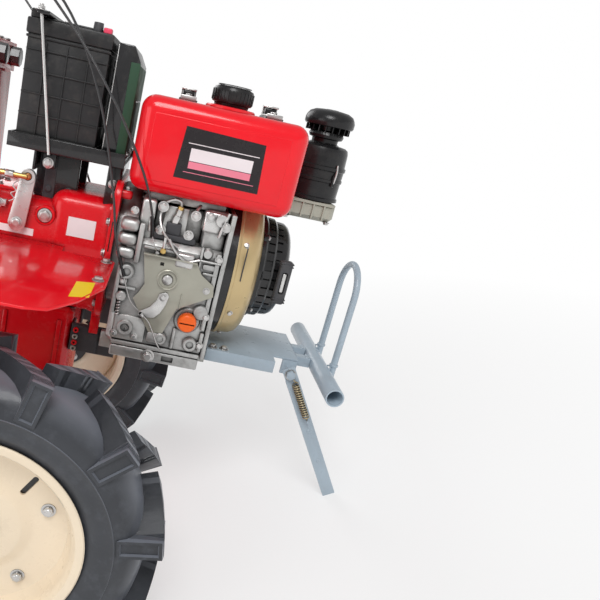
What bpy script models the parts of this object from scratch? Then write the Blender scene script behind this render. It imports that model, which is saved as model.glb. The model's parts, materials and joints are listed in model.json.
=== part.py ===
"""Walk-behind two-wheel tractor with a diesel engine in front, parked on its wheels and its front stand.

The machine is laid out level in its own frame: X forward, Y to the driver's left, Z up, origin at
the middle of the wheel axle. The empty "parked" then lowers the nose until the stand's foot is on
the floor. World origin: on the floor, below the middle of the machine's length. Units are metres.
"""

from math import acos, atan2, cos, hypot, pi, radians, sin

import bmesh
import bpy
from mathutils import Vector

# ---------------------------------------------------------------- fits
GAP = 0.0003  # between pieces that touch
RUNNING = 0.0009  # radial, between a shaft and its bore
MOVING = 0.006  # between a moving piece and its neighbour

# ---------------------------------------------------------------- wheels
TYRE_R = 0.286
TYRE_WIDTH = 0.130
BEAD_R = 0.154  # where the tyre meets the rim barrel
RIM_R = 0.170
HALF_TRACK = 0.367
DISC_RECESS = 0.050  # disc face, in from the rim's outer edge
RIM_SHEET = 0.004
HUB_R = 0.030
HUB_FLANGE_R = 0.068
SHAFT_R = 0.0175
SHAFT_DEPTH = 0.030  # how far the wheel shaft enters the axle housing

# ---------------------------------------------------------------- gearbox
LEG_HALF_Y = 0.095
LEG_FRONT = 0.062
LEG_REAR = -0.085
LEG_TOP = 0.262
SUMP_R = 0.085
CASE_REAR = -0.235
CASE_FRONT = 0.030
CASE_BOTTOM = 0.255
CASE_TOP = 0.450
CASE_ROUND = 0.030
CRANK_Z = 0.385
BELL_R_REAR = 0.092
BELL_R_FRONT = 0.118
BELL_LENGTH = 0.070
BELL_DROP = 0.012  # bell axis, below the crankshaft
FLANGE = 0.125  # half side of the square clutch flange
FLANGE_T = 0.012
AXLE_HOUSING_LENGTH = 0.075
AXLE_HOUSING_R = 0.038

# ---------------------------------------------------------------- fenders
FENDER_Z = 0.375
FENDER_T = 0.003
LIP_T = 0.004  # bolting lip along the gearbox
FENDER_FRONT = 0.122
FENDER_REAR = -0.215
FENDER_OUTER = 0.435
FENDER_CORNER = 0.060  # length of the slanted front corner along X

# ---------------------------------------------------------------- frame under the engine
DECK_Z = 0.235
RAIL_Y = 0.088  # outer face of each rail
RAIL_T = 0.005
RAIL_H = 0.055
RAIL_FLANGE = 0.030
PLATE_REAR = 0.318
PLATE_FRONT = 0.503
PLATE_T = 0.004
PLATE_FLANGE = 0.024
NOTCH_REAR = 0.452
NOTCH_INNER = 0.056
BUMPER_X = 0.550
BUMPER_Z = 0.222
BUMPER_OD = 0.034
BUMPER_WALL = 0.003
BUMPER_HALF = 0.178
HOOP_ROD = 0.013
HOOP_HALF_Y = 0.055
HOOP_TOP = 0.430

# ---------------------------------------------------------------- stand
PIVOT_X = 0.487
PIVOT_DROP = 0.021  # pivot, below the deck
LEG_LENGTH = 0.283
LEG_WIDTH = 0.025
LEG_SHEET = 0.003
LEG_HEAD = 0.013  # leg past its pivot
LEG_SPLAY = radians(31)  # forward of the machine's own vertical
LEG_Y = -0.086  # outer face of the leg's web
PIN_R = 0.005
SPRING_R = 0.0062
SPRING_TOP = 0.012  # along the leg, from the pivot
SPRING_LENGTH = 0.088

# ---------------------------------------------------------------- engine
BLOCK_REAR = 0.128
BLOCK_FRONT = 0.308
BLOCK_NEAR = -0.148
BLOCK_FAR = 0.120
BLOCK_TOP = 0.432
BARREL_TOP = 0.500
HEAD_NEAR = 0.044
HEAD_FAR = 0.140
HEAD_TOP = 0.600
SHROUD_R = 0.138
SHROUD_DEPTH = 0.058
SHROUD_STANDOFF = 0.008
RECOIL_R = 0.100
RECOIL_DEPTH = 0.058
CONTROL_T = 0.003
OIL_CAP_R = 0.0165

# ---------------------------------------------------------------- tank and air cleaner
TANK_REAR = 0.119
TANK_FRONT = 0.390
TANK_NEAR = -0.156
TANK_FAR = 0.030
TANK_BOTTOM = 0.508
TANK_TOP = 0.656
CAP_R = 0.036
CLEANER_X = 0.452
CLEANER_R = 0.051
CLEANER_BOTTOM = 0.540
CLEANER_TOP = 0.640
PRECLEANER_R = 0.045
MUFFLER_LENGTH = 0.190
MUFFLER_R = 0.050

# ---------------------------------------------------------------- battery
BATTERY_SIZE = (0.140, 0.200, 0.200)
BATTERY_X = -0.015
TRAY_TOP = 0.535
TRAY_T = 0.004
TRAY_LIP = 0.020
TRAY_MARGIN = 0.007
BOX_WIDTH = 0.040  # control box, along X

# ---------------------------------------------------------------- handlebars
COLUMN_X = -0.165
COLUMN_SIZE = (0.060, 0.090)
COLUMN_TOP = 0.650
BAR_R = 0.0165
BAR_SPREAD = 0.300
BAR_REACH = -0.960
BAR_HEIGHT = 0.800
BAR_STRAIGHT = 0.190  # straight rear end of each bar
GRIP_LENGTH = 0.125
GRIP_R = 0.0205
LEVER_AHEAD = 0.022  # hand lever clamp, ahead of the grip
LEVER_CLAMP = 0.022
CABLE_RISE = 0.027  # cable sockets, above the bar's axis
CABLE_R = 0.0032

PAINT_RED = (0.72, 0.012, 0.018)
CREAM = (0.80, 0.70, 0.55)
BLUE_GREY = (0.38, 0.44, 0.48)
GOLD = (0.55, 0.42, 0.20)
ALLOY = (0.50, 0.50, 0.49)
OLIVE = (0.44, 0.43, 0.34)
ORANGE = (0.90, 0.16, 0.02)
STEEL = (0.55, 0.55, 0.55)
BLACK = (0.015, 0.015, 0.016)
RUBBER = (0.020, 0.021, 0.022)
DARK_GREY = (0.06, 0.06, 0.065)

MATERIALS = {
    # name: (colour, roughness, metallic)
    "red_paint": (PAINT_RED, 0.2, 0.0),
    "cream_paint": (CREAM, 0.35, 0.0),
    "grey_paint": (BLUE_GREY, 0.35, 0.0),
    "gold_paint": (GOLD, 0.3, 0.5),
    "cast_alloy": (ALLOY, 0.45, 0.9),
    "olive_plate": (OLIVE, 0.4, 0.6),
    "orange_plastic": (ORANGE, 0.35, 0.0),
    "zinc_steel": (STEEL, 0.3, 1.0),
    "black_plastic": (BLACK, 0.35, 0.0),
    "black_paint": (BLACK, 0.3, 0.0),
    "dark_paint": (DARK_GREY, 0.45, 0.0),
    "tyre_rubber": (RUBBER, 0.75, 0.0),
}

# ================================================================ scene


def clear_scene():
    for obj in list(bpy.data.objects):
        bpy.data.objects.remove(obj, do_unlink=True)


def new_collection(name):
    collection = bpy.data.collections.new(name)
    bpy.context.scene.collection.children.link(collection)
    return collection


def make_material(name, colour, roughness, metallic):
    material = bpy.data.materials.new(name)
    material.use_nodes = True
    shader = material.node_tree.nodes["Principled BSDF"]
    shader.inputs["Base Color"].default_value = (*colour, 1.0)
    shader.inputs["Roughness"].default_value = roughness
    shader.inputs["Metallic"].default_value = metallic
    return material


def make_empty(name, parent, location, pitch=0.0):
    empty = bpy.data.objects.new(name, None)
    PARTS.objects.link(empty)
    empty.empty_display_size = 0.05
    empty.parent = parent
    empty.location = location
    empty.rotation_euler = (0.0, pitch, 0.0)
    return empty


def place(obj, finish, parent=None):
    """Files a piece with the parts, or with the cutters when it has no finish."""
    helper = finish is None
    (CUTTERS if helper else PARTS).objects.link(obj)
    obj.parent = parent or PARKED
    if helper:
        obj.hide_render = True
        obj.display_type = "WIRE"
    else:
        obj.data.materials.append(FINISHES[finish])
    return obj


# ================================================================ shapes


def smooth(mesh, angle=radians(35)):
    mesh.shade_smooth()
    mesh.set_sharp_from_angle(angle=angle)


def box(name, low, high, finish=None, round_by=0.0, parent=None, segments=2):
    low, high = Vector(low), Vector(high)
    cage = bmesh.new()
    bmesh.ops.create_cube(cage, size=1.0)
    bmesh.ops.scale(cage, vec=high - low, verts=cage.verts)
    mesh = bpy.data.meshes.new(name)
    cage.to_mesh(mesh)
    cage.free()
    obj = place(bpy.data.objects.new(name, mesh), finish, parent)
    obj.location = (low + high) / 2
    if round_by:
        add_bevel(obj, round_by, segments)
    return obj


def add_bevel(obj, width, segments=2):
    bevel = obj.modifiers.new("rounded edges", "BEVEL")
    bevel.width = width
    bevel.segments = segments
    bevel.limit_method = "ANGLE"
    bevel.angle_limit = radians(40)
    smooth(obj.data)


def rod(name, start, end, radius, finish=None, sides=24, end_radius=None, parent=None):
    """A round bar or cone from one point to another."""
    start, end = Vector(start), Vector(end)
    along = end - start
    cage = bmesh.new()
    bmesh.ops.create_cone(
        cage,
        cap_ends=True,
        segments=sides,
        radius1=radius,
        radius2=radius if end_radius is None else end_radius,
        depth=along.length,
    )
    mesh = bpy.data.meshes.new(name)
    cage.to_mesh(mesh)
    cage.free()
    obj = place(bpy.data.objects.new(name, mesh), finish, parent)
    obj.location = (start + end) / 2
    obj.rotation_euler = along.to_track_quat("Z", "Y").to_euler()
    smooth(mesh)
    return obj


def turned(name, profile, centre, axis, finish, steps=40, parent=None, closed=False):
    """Turns (radius, height) points about an axis. The profile runs down its outer side."""
    count = len(profile)
    edges = [(i, i + 1) for i in range(count - 1)]
    if closed:
        edges.append((count - 1, 0))
    mesh = bpy.data.meshes.new(name)
    mesh.from_pydata([(r, 0.0, h) for r, h in profile], edges, [])
    obj = place(bpy.data.objects.new(name, mesh), finish, parent)
    obj.location = centre
    obj.rotation_euler = Vector(axis).to_track_quat("Z", "Y").to_euler()
    screw = obj.modifiers.new("turned", "SCREW")
    screw.axis = "Z"
    screw.steps = steps
    screw.render_steps = steps
    screw.use_merge_vertices = True
    screw.merge_threshold = 0.00005
    screw.use_smooth_shade = True
    return obj


def tube(name, points, radius, finish, parent=None, sides_level=2):
    curve = bpy.data.curves.new(name, "CURVE")
    curve.dimensions = "3D"
    curve.bevel_depth = radius
    curve.bevel_resolution = sides_level
    curve.use_fill_caps = True
    spline = curve.splines.new("POLY")
    spline.points.add(len(points) - 1)
    for point, position in zip(spline.points, points):
        point.co = (*position, 1.0)
    return place(bpy.data.objects.new(name, curve), finish, parent)


def flat_plate(name, outline, centre, thickness, finish=None, facing="Z", parent=None):
    """A flat outline of given thickness, centred on its plane; facing names the plane's normal."""
    curve = bpy.data.curves.new(name, "CURVE")
    curve.dimensions = "2D"
    curve.fill_mode = "BOTH"
    curve.extrude = thickness / 2
    spline = curve.splines.new("POLY")
    spline.points.add(len(outline) - 1)
    for point, (u, v) in zip(spline.points, outline):
        point.co = (u, v, 0.0, 1.0)
    spline.use_cyclic_u = True
    guide = place(bpy.data.objects.new(name, curve), None, parent)
    guide.location = centre
    if facing == "Y":
        guide.rotation_euler = (pi / 2, 0.0, 0.0)
    return as_mesh(guide, name, finish, parent)


def as_mesh(guide, name, finish, parent):
    """Replaces a curve by its welded mesh, so that it can be cut or joined."""
    bpy.context.view_layer.update()
    graph = bpy.context.evaluated_depsgraph_get()
    mesh = bpy.data.meshes.new_from_object(guide.evaluated_get(graph))
    cage = bmesh.new()
    cage.from_mesh(mesh)
    bmesh.ops.remove_doubles(cage, verts=cage.verts, dist=0.00005)
    cage.to_mesh(mesh)
    cage.free()
    mesh.materials.clear()
    obj = place(bpy.data.objects.new(name, mesh), finish, parent)
    world = guide.matrix_world.copy()
    bpy.data.objects.remove(guide, do_unlink=True)
    obj.name = name
    bpy.context.view_layer.update()
    obj.matrix_world = world
    return obj


def combine(obj, operation, *others):
    for other in others:
        step = obj.modifiers.new(other.name, "BOOLEAN")
        step.operation = operation
        step.solver = "EXACT"
        step.object = other
    return obj


def join(obj, *others):
    return combine(obj, "UNION", *others)


def cut(obj, *others):
    return combine(obj, "DIFFERENCE", *others)


def arc(centre_u, centre_v, radius, start, end, steps):
    """Points (u, v) along an arc, both ends included."""
    angles = [start + (end - start) * i / steps for i in range(steps + 1)]
    return [(centre_u + radius * cos(a), centre_v + radius * sin(a)) for a in angles]


def smooth_route(points, per_span=5):
    """A Catmull-Rom curve through the route's points."""
    route = [Vector(p) for p in points]
    padded = [2 * route[0] - route[1], *route, 2 * route[-1] - route[-2]]
    found = []
    for i in range(1, len(padded) - 2):
        a, b, c, d = padded[i - 1 : i + 3]
        for j in range(per_span):
            t = j / per_span
            found.append(
                0.5 * ((2 * b) + (c - a) * t + (2 * a - 5 * b + 4 * c - d) * t**2
                       + (3 * b - a - 3 * c + d) * t**3)
            )
    return [*found, route[-1]]


# ================================================================ parked attitude


def stand_foot():
    """Both corners of the stand's foot, in the level frame."""
    along = Vector((sin(LEG_SPLAY), 0.0, -cos(LEG_SPLAY)))
    across = Vector((cos(LEG_SPLAY), 0.0, sin(LEG_SPLAY)))
    pivot = Vector((PIVOT_X, 0.0, DECK_Z - PIVOT_DROP))
    return [pivot + along * LEG_LENGTH + across * (side * LEG_WIDTH / 2) for side in (-1, 1)]


def parking_pitch():
    """Nose-down angle at which the tyres and the first corner of the foot share the floor."""
    return min(
        atan2(corner.x, -corner.z) - acos(TYRE_R / hypot(corner.x, corner.z)) for corner in stand_foot()
    )


# ================================================================ wheels and axle


def make_wheel(side, word):
    """One wheel, with its hub and shaft, about its own axis; side is -1 on the right."""
    axis = (0.0, float(side), 0.0)
    hub = make_empty(f"wheel_{word}_axis", PARKED, (0.0, side * HALF_TRACK, 0.0))
    half = TYRE_WIDTH / 2
    rim_half = half - 0.006
    sheet = RIM_SHEET
    inner = BEAD_R - sheet
    lip = RIM_R
    bead = rim_half - sheet
    upper = [
        (BEAD_R + GAP, bead - 0.0175),
        (RIM_R, bead - 0.0015),
        (RIM_R + 0.010, bead + 0.003),
        (RIM_R + 0.045, half),
        (TYRE_R - 0.030, half - 0.002),
        (TYRE_R - 0.008, half - 0.010),
        (TYRE_R, half - 0.024),
    ]
    tyre_profile = [*upper, *[(r, -h) for r, h in reversed(upper)]]
    turned(f"tyre_{word}", tyre_profile, (0, 0, 0), axis, "tyre_rubber", 40, hub, True)
    disc = rim_half - DISC_RECESS
    rim_profile = [
        (HUB_R + GAP, disc + 0.010),
        (0.072, disc + 0.010),
        (0.088, disc),
        (inner - 0.012, disc),
        (inner, disc + 0.012),
        (inner, rim_half - 0.012),
        (lip - 0.004, rim_half),
        (lip, rim_half),
        (lip, rim_half - sheet),
        (BEAD_R - GAP, rim_half - 0.020),
        (BEAD_R - GAP, -rim_half + 0.020),
        (lip, -rim_half + sheet),
        (lip, -rim_half),
        (lip - 0.004, -rim_half),
        (inner, -rim_half + 0.012),
        (inner, disc - 0.008),
        (inner - 0.014, disc - sheet),
        (0.086, disc - sheet),
        (0.070, disc + 0.010 - sheet),
        (HUB_R + GAP, disc + 0.010 - sheet),
    ]
    turned(f"rim_{word}", rim_profile, (0, 0, 0), axis, "cream_paint", 36, hub, True)
    seat = disc + 0.010 - sheet - GAP
    inward = HALF_TRACK - LEG_HALF_Y - AXLE_HOUSING_LENGTH
    hub_profile = [
        (0.0, disc + 0.026),
        (HUB_R - 0.004, disc + 0.026),
        (HUB_R, disc + 0.022),
        (HUB_R, seat),
        (HUB_FLANGE_R, seat),
        (HUB_FLANGE_R, seat - 0.010),
        (HUB_R, seat - 0.014),
        (HUB_R, -inward + MOVING),
        (SHAFT_R, -inward + MOVING),
        (SHAFT_R, -inward - SHAFT_DEPTH),
        (0.0, -inward - SHAFT_DEPTH),
    ]
    turned(f"wheel_hub_{word}", hub_profile, (0, 0, 0), axis, "dark_paint", 24, hub)


def make_axle_housing(side, word):
    start = side * (LEG_HALF_Y + GAP)
    end = side * (LEG_HALF_Y + AXLE_HOUSING_LENGTH)
    housing = rod(f"axle_housing_{word}", (0, start, 0), (0, end, 0), AXLE_HOUSING_R, "red_paint")
    flange = rod(f"axle_flange_{word}", (0, start, 0), (0, start + side * 0.012, 0), 0.062)
    bore = rod(
        f"axle_bore_{word}",
        (0, end - side * (SHAFT_DEPTH + 0.004), 0),
        (0, end + side * 0.01, 0),
        SHAFT_R + RUNNING,
    )
    cut(join(housing, flange), bore)


# ================================================================ gearbox


def make_gearbox():
    case = box(
        "gearbox_case",
        (CASE_REAR, -LEG_HALF_Y, CASE_BOTTOM),
        (CASE_FRONT, LEG_HALF_Y, CASE_TOP),
        "red_paint",
        CASE_ROUND,
        segments=3,
    )
    leg = box(
        "gearbox_leg",
        (LEG_REAR, -LEG_HALF_Y, 0.0),
        (LEG_FRONT, LEG_HALF_Y, LEG_TOP),
        round_by=0.010,
        segments=1,
    )
    sump = rod("gearbox_sump", (0, -LEG_HALF_Y, 0), (0, LEG_HALF_Y, 0), SUMP_R, sides=32)
    cover = box(
        "gearbox_cover",
        (CASE_REAR + 0.010, -0.040, CASE_TOP - 0.010),
        (COLUMN_X - 0.048, 0.040, CASE_TOP + 0.010),
    )
    join(case, leg, sump, cover)
    bell_front = CASE_FRONT + BELL_LENGTH
    bell_z = CRANK_Z - BELL_DROP
    bell = rod(
        "clutch_housing",
        (CASE_FRONT + GAP, 0, bell_z),
        (bell_front + 0.004, 0, bell_z),
        BELL_R_REAR,
        "red_paint",
        32,
        BELL_R_FRONT,
    )
    flange = box(
        "clutch_flange",
        (bell_front, -FLANGE, CRANK_Z - FLANGE),
        (bell_front + FLANGE_T, FLANGE, CRANK_Z + FLANGE),
        round_by=0.045,
    )
    flange.modifiers["rounded edges"].limit_method = "WEIGHT"
    weight_edges_along(flange, 0)
    join(bell, flange)
    turned(
        "pto_cover",
        [(0, 0.026), (0.030, 0.026), (0.034, 0.022), (0.034, 0.012), (0.056, 0.012), (0.056, 0), (0, 0)],
        (CASE_REAR - GAP, 0, CASE_BOTTOM + 0.085),
        (-1, 0, 0),
        "red_paint",
        32,
    )


def weight_edges_along(obj, axis):
    """Lets the bevel act only on the edges that run along one axis."""
    cage = bmesh.new()
    cage.from_mesh(obj.data)
    layer = cage.edges.layers.float.new("bevel_weight_edge")
    for edge in cage.edges:
        span = edge.verts[1].co - edge.verts[0].co
        edge[layer] = 1.0 if abs(span[axis]) > 0.9 * span.length else 0.0
    cage.to_mesh(obj.data)
    cage.free()


def make_hitch():
    """Drawbar bracket on the back of the gearbox leg, with its drop pin."""
    low, high, reach = 0.060, 0.170, -0.215
    bracket = box(
        "rear_hitch", (reach, -0.045, low), (LEG_REAR - GAP, 0.045, high), "black_paint", 0.006
    )
    slot = box("hitch_slot", (reach - 0.01, -0.06, low + 0.028), (LEG_REAR - 0.045, 0.06, high - 0.028))
    hole = rod("hitch_hole", (reach + 0.030, 0, low - 0.01), (reach + 0.030, 0, high + 0.01), 0.0112)
    cut(bracket, slot, hole)
    pin = rod(
        "hitch_pin", (reach + 0.030, 0, low - 0.015), (reach + 0.030, 0, high + 0.008), 0.0105,
        "zinc_steel", 16,
    )
    head = rod("hitch_pin_head", (reach + 0.030, 0, high + GAP), (reach + 0.030, 0, high + 0.012), 0.018)
    join(pin, head)


def make_shift_linkage():
    """Shift arm on the right of the gearbox, with its rod and the hand lever it is moved by."""
    arm_y = -LEG_HALF_Y - GAP
    low = Vector((-0.058, arm_y, 0.405))
    top = low + Vector((0.010, 0.0, 0.082))
    arm = flat_plate(
        "shift_arm",
        [
            *arc(low.x, low.z, 0.0145, radians(-187), radians(-7), 8),
            *arc(top.x, top.z, 0.0125, radians(-7), radians(173), 8),
        ],
        (0, arm_y - 0.012, 0),
        0.006,
        "zinc_steel",
        "Y",
    )
    shaft = rod("shift_shaft", (low.x, arm_y, low.z), (low.x, arm_y - 0.022, low.z), 0.008, sides=12)
    stud = rod("shift_stud", (top.x, arm_y - 0.010, top.z), (top.x, arm_y - 0.0195, top.z), 0.005, sides=10)
    join(arm, shaft, stud)
    rod_y = arm_y - 0.0195 - GAP - 0.005
    lever_foot = Vector((CASE_REAR + 0.028, arm_y, low.z - 0.010))
    lever_top = Vector((-0.335, -0.115, 0.840))
    joint_t = (top.z - lever_foot.z) / (lever_top.z - lever_foot.z)
    lever_joint = lever_foot.lerp(lever_top, joint_t)
    lever_y = arm_y - 0.012
    rod(
        "shift_rod",
        (top.x, rod_y, top.z),
        (lever_joint.x + 0.004, rod_y, top.z),
        0.005,
        "zinc_steel",
        10,
    )
    lever = tube(
        "gear_lever",
        [
            (lever_foot.x, lever_y, lever_foot.z),
            (lever_joint.x, lever_y, lever_joint.z),
            lever_top,
        ],
        0.006,
        None,
    )
    lever = as_mesh(lever, "gear_lever", "zinc_steel", PARKED)
    foot = rod(
        "gear_lever_foot",
        (lever_foot.x, arm_y, lever_foot.z),
        (lever_foot.x, lever_y - 0.008, lever_foot.z),
        0.012,
    )
    join(lever, foot)
    knob_along = (lever_top - lever_joint).normalized()
    knob = rod(
        "gear_lever_knob", lever_top - knob_along * 0.010, lever_top + knob_along * 0.040, 0.010, sides=16,
        end_radius=0.015,
    )
    join(lever, knob)


# ================================================================ fenders


def make_fender(side, word):
    inner, outer = LEG_HALF_Y + GAP, FENDER_OUTER
    outline = [
        (FENDER_REAR, inner + LIP_T / 2),
        (FENDER_FRONT - 0.02, inner + LIP_T / 2),
        (FENDER_FRONT, FLANGE + 0.012),
        (FENDER_FRONT, outer - 0.145),
        (FENDER_FRONT - 0.028, outer - 0.065),
        (FENDER_FRONT - FENDER_CORNER, outer - 0.010),
        (FENDER_FRONT - FENDER_CORNER - 0.030, outer),
        *arc(FENDER_REAR + 0.05, outer - 0.05, 0.05, pi / 2, pi, 4),
    ]
    outline = [(x, side * y) for x, y in outline]
    if side < 0:
        outline.reverse()
    fender = flat_plate(f"fender_{word}", outline, (0, 0, FENDER_Z), FENDER_T, "red_paint")
    lip = box(
        f"fender_lip_{word}",
        (FENDER_REAR + 0.020, min(side * inner, side * (inner + LIP_T)), FENDER_Z - 0.030),
        (CASE_FRONT - 0.010, max(side * inner, side * (inner + LIP_T)), FENDER_Z),
    )
    notch = box(
        f"fender_notch_{word}",
        (CASE_FRONT - 0.002, min(0, side * (FLANGE + 0.004)), FENDER_Z - 0.05),
        (FENDER_FRONT + 0.05, max(0, side * (FLANGE + 0.004)), FENDER_Z + 0.05),
    )
    cut(join(fender, lip), notch)


# ================================================================ frame, bumper and stand


def make_rail(side, word):
    web = box(
        f"frame_rail_{word}",
        (LEG_FRONT + GAP, min(side * RAIL_Y, side * (RAIL_Y - RAIL_T)), DECK_Z - RAIL_H - GAP),
        (PLATE_REAR - GAP, max(side * RAIL_Y, side * (RAIL_Y - RAIL_T)), DECK_Z - GAP),
        "dark_paint",
    )
    flange = box(
        f"rail_flange_{word}",
        (LEG_FRONT + 0.066, min(side * RAIL_Y, side * (RAIL_Y - RAIL_FLANGE)), DECK_Z - RAIL_T - GAP),
        (PLATE_REAR - GAP, max(side * RAIL_Y, side * (RAIL_Y - RAIL_FLANGE)), DECK_Z - GAP),
    )
    foot = box(
        f"rail_foot_{word}",
        (LEG_FRONT + GAP, min(side * RAIL_Y, side * (RAIL_Y - RAIL_FLANGE)), DECK_Z - RAIL_H - GAP),
        (LEG_FRONT + RAIL_T, max(side * RAIL_Y, side * (RAIL_Y - RAIL_FLANGE)), DECK_Z - GAP),
    )
    join(web, flange, foot)


def make_front_plate():
    top = DECK_Z - GAP
    plate = box(
        "front_plate", (PLATE_REAR, -RAIL_Y, top - PLATE_T), (PLATE_FRONT, RAIL_Y, top), "grey_paint"
    )
    pieces = []
    for side in (-1, 1):
        low, high = sorted((side * RAIL_Y, side * (RAIL_Y - PLATE_T)))
        pieces.append(
            box(f"plate_flange_{side}", (PLATE_REAR, low, top - PLATE_FLANGE), (PLATE_FRONT, high, top))
        )
        low, high = sorted((side * 0.016, side * 0.036))
        pieces.append(
            box(
                f"plate_tongue_{side}",
                (PLATE_FRONT - 0.012, low, BUMPER_Z - 0.007),
                (BUMPER_X - BUMPER_OD / 2 - GAP, high, top - 0.001),
            )
        )
    join(plate, *pieces)
    notch = box(
        "plate_notch",
        (NOTCH_REAR, -RAIL_Y - 0.01, top - PLATE_FLANGE - 0.01),
        (PLATE_FRONT + 0.01, -NOTCH_INNER, top + 0.01),
    )
    cut(plate, notch)


def make_bumper():
    outer, inner = BUMPER_OD / 2, BUMPER_OD / 2 - BUMPER_WALL
    profile = [(outer, BUMPER_HALF), (outer, -BUMPER_HALF), (inner, -BUMPER_HALF), (inner, BUMPER_HALF)]
    turned("bumper_tube", profile, (BUMPER_X, 0, BUMPER_Z), (0, 1, 0), "grey_paint", 24, closed=True)
    hoop_x = BUMPER_X + outer + HOOP_ROD / 2 + GAP
    crown = arc(0.0, HOOP_TOP - HOOP_HALF_Y, HOOP_HALF_Y, 0.0, pi, 12)
    route = [(HOOP_HALF_Y, BUMPER_Z - 0.010), *crown, (-HOOP_HALF_Y, BUMPER_Z - 0.010)]
    tube("bumper_hoop", [(hoop_x, y, z) for y, z in route], HOOP_ROD / 2, "grey_paint")


def make_stand():
    """Angle-iron leg on a bolt that an ear under the deck carries. The leg is built pointing
    straight down from its pivot, and its empty is splayed forward."""
    pivot = Vector((PIVOT_X, 0.0, DECK_Z - PIVOT_DROP))
    inner = -NOTCH_INNER
    ear = box(
        "stand_bracket",
        (PIVOT_X - 0.014, inner + GAP, pivot.z - 0.013),
        (PLATE_FRONT, inner + 0.0053, DECK_Z - PLATE_T - 2 * GAP),
        "grey_paint",
    )
    bolt = rod(
        "stand_bolt", (PIVOT_X, inner + 0.004, pivot.z), (PIVOT_X, LEG_Y - 0.002, pivot.z), PIN_R, sides=16
    )
    head = rod(
        "stand_bolt_head",
        (PIVOT_X, LEG_Y - 0.001, pivot.z),
        (PIVOT_X, LEG_Y - 0.008, pivot.z),
        0.0095,
        sides=6,
    )
    nut = rod(
        "stand_bolt_nut",
        (PIVOT_X, inner + 0.0045, pivot.z),
        (PIVOT_X, inner + 0.013, pivot.z),
        0.0095,
        sides=6,
    )
    join(ear, bolt, head, nut)
    axis = make_empty("stand_axis", PARKED, pivot, -LEG_SPLAY)
    half = LEG_WIDTH / 2
    flange_y = inner - 0.003
    section = [
        (-half, LEG_Y),
        (half, LEG_Y),
        (half, LEG_Y + LEG_SHEET),
        (-half + LEG_SHEET, LEG_Y + LEG_SHEET),
        (-half + LEG_SHEET, flange_y),
        (-half, flange_y),
    ]
    leg = flat_plate(
        "stand_leg",
        section,
        (0, 0, (LEG_HEAD - LEG_LENGTH) / 2),
        LEG_LENGTH + LEG_HEAD,
        "grey_paint",
        parent=axis,
    )
    relief = box(
        "stand_relief",
        (-half - 0.01, LEG_Y + LEG_SHEET + 0.0005, -0.024),
        (half + 0.01, flange_y + 0.01, LEG_HEAD + 0.01),
        parent=axis,
    )
    peg = rod(
        "stand_peg",
        (0.003, LEG_Y + 0.001, -SPRING_TOP - SPRING_LENGTH - 0.003),
        (0.003, LEG_Y - 2 * SPRING_R, -SPRING_TOP - SPRING_LENGTH - 0.003),
        0.003 - GAP,
        sides=8,
        parent=axis,
    )
    hole = rod(
        "stand_hole", (0, LEG_Y - 0.01, 0), (0, LEG_Y + 0.01, 0), PIN_R + RUNNING, sides=16, parent=axis
    )
    cut(join(leg, peg), hole, relief)
    spring_y = LEG_Y - SPRING_R - 0.0008
    rod(
        "stand_spring",
        (0.003, spring_y, -SPRING_TOP),
        (0.003, spring_y, -SPRING_TOP - SPRING_LENGTH),
        SPRING_R,
        "zinc_steel",
        12,
        parent=axis,
    )


# ================================================================ engine


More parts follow.
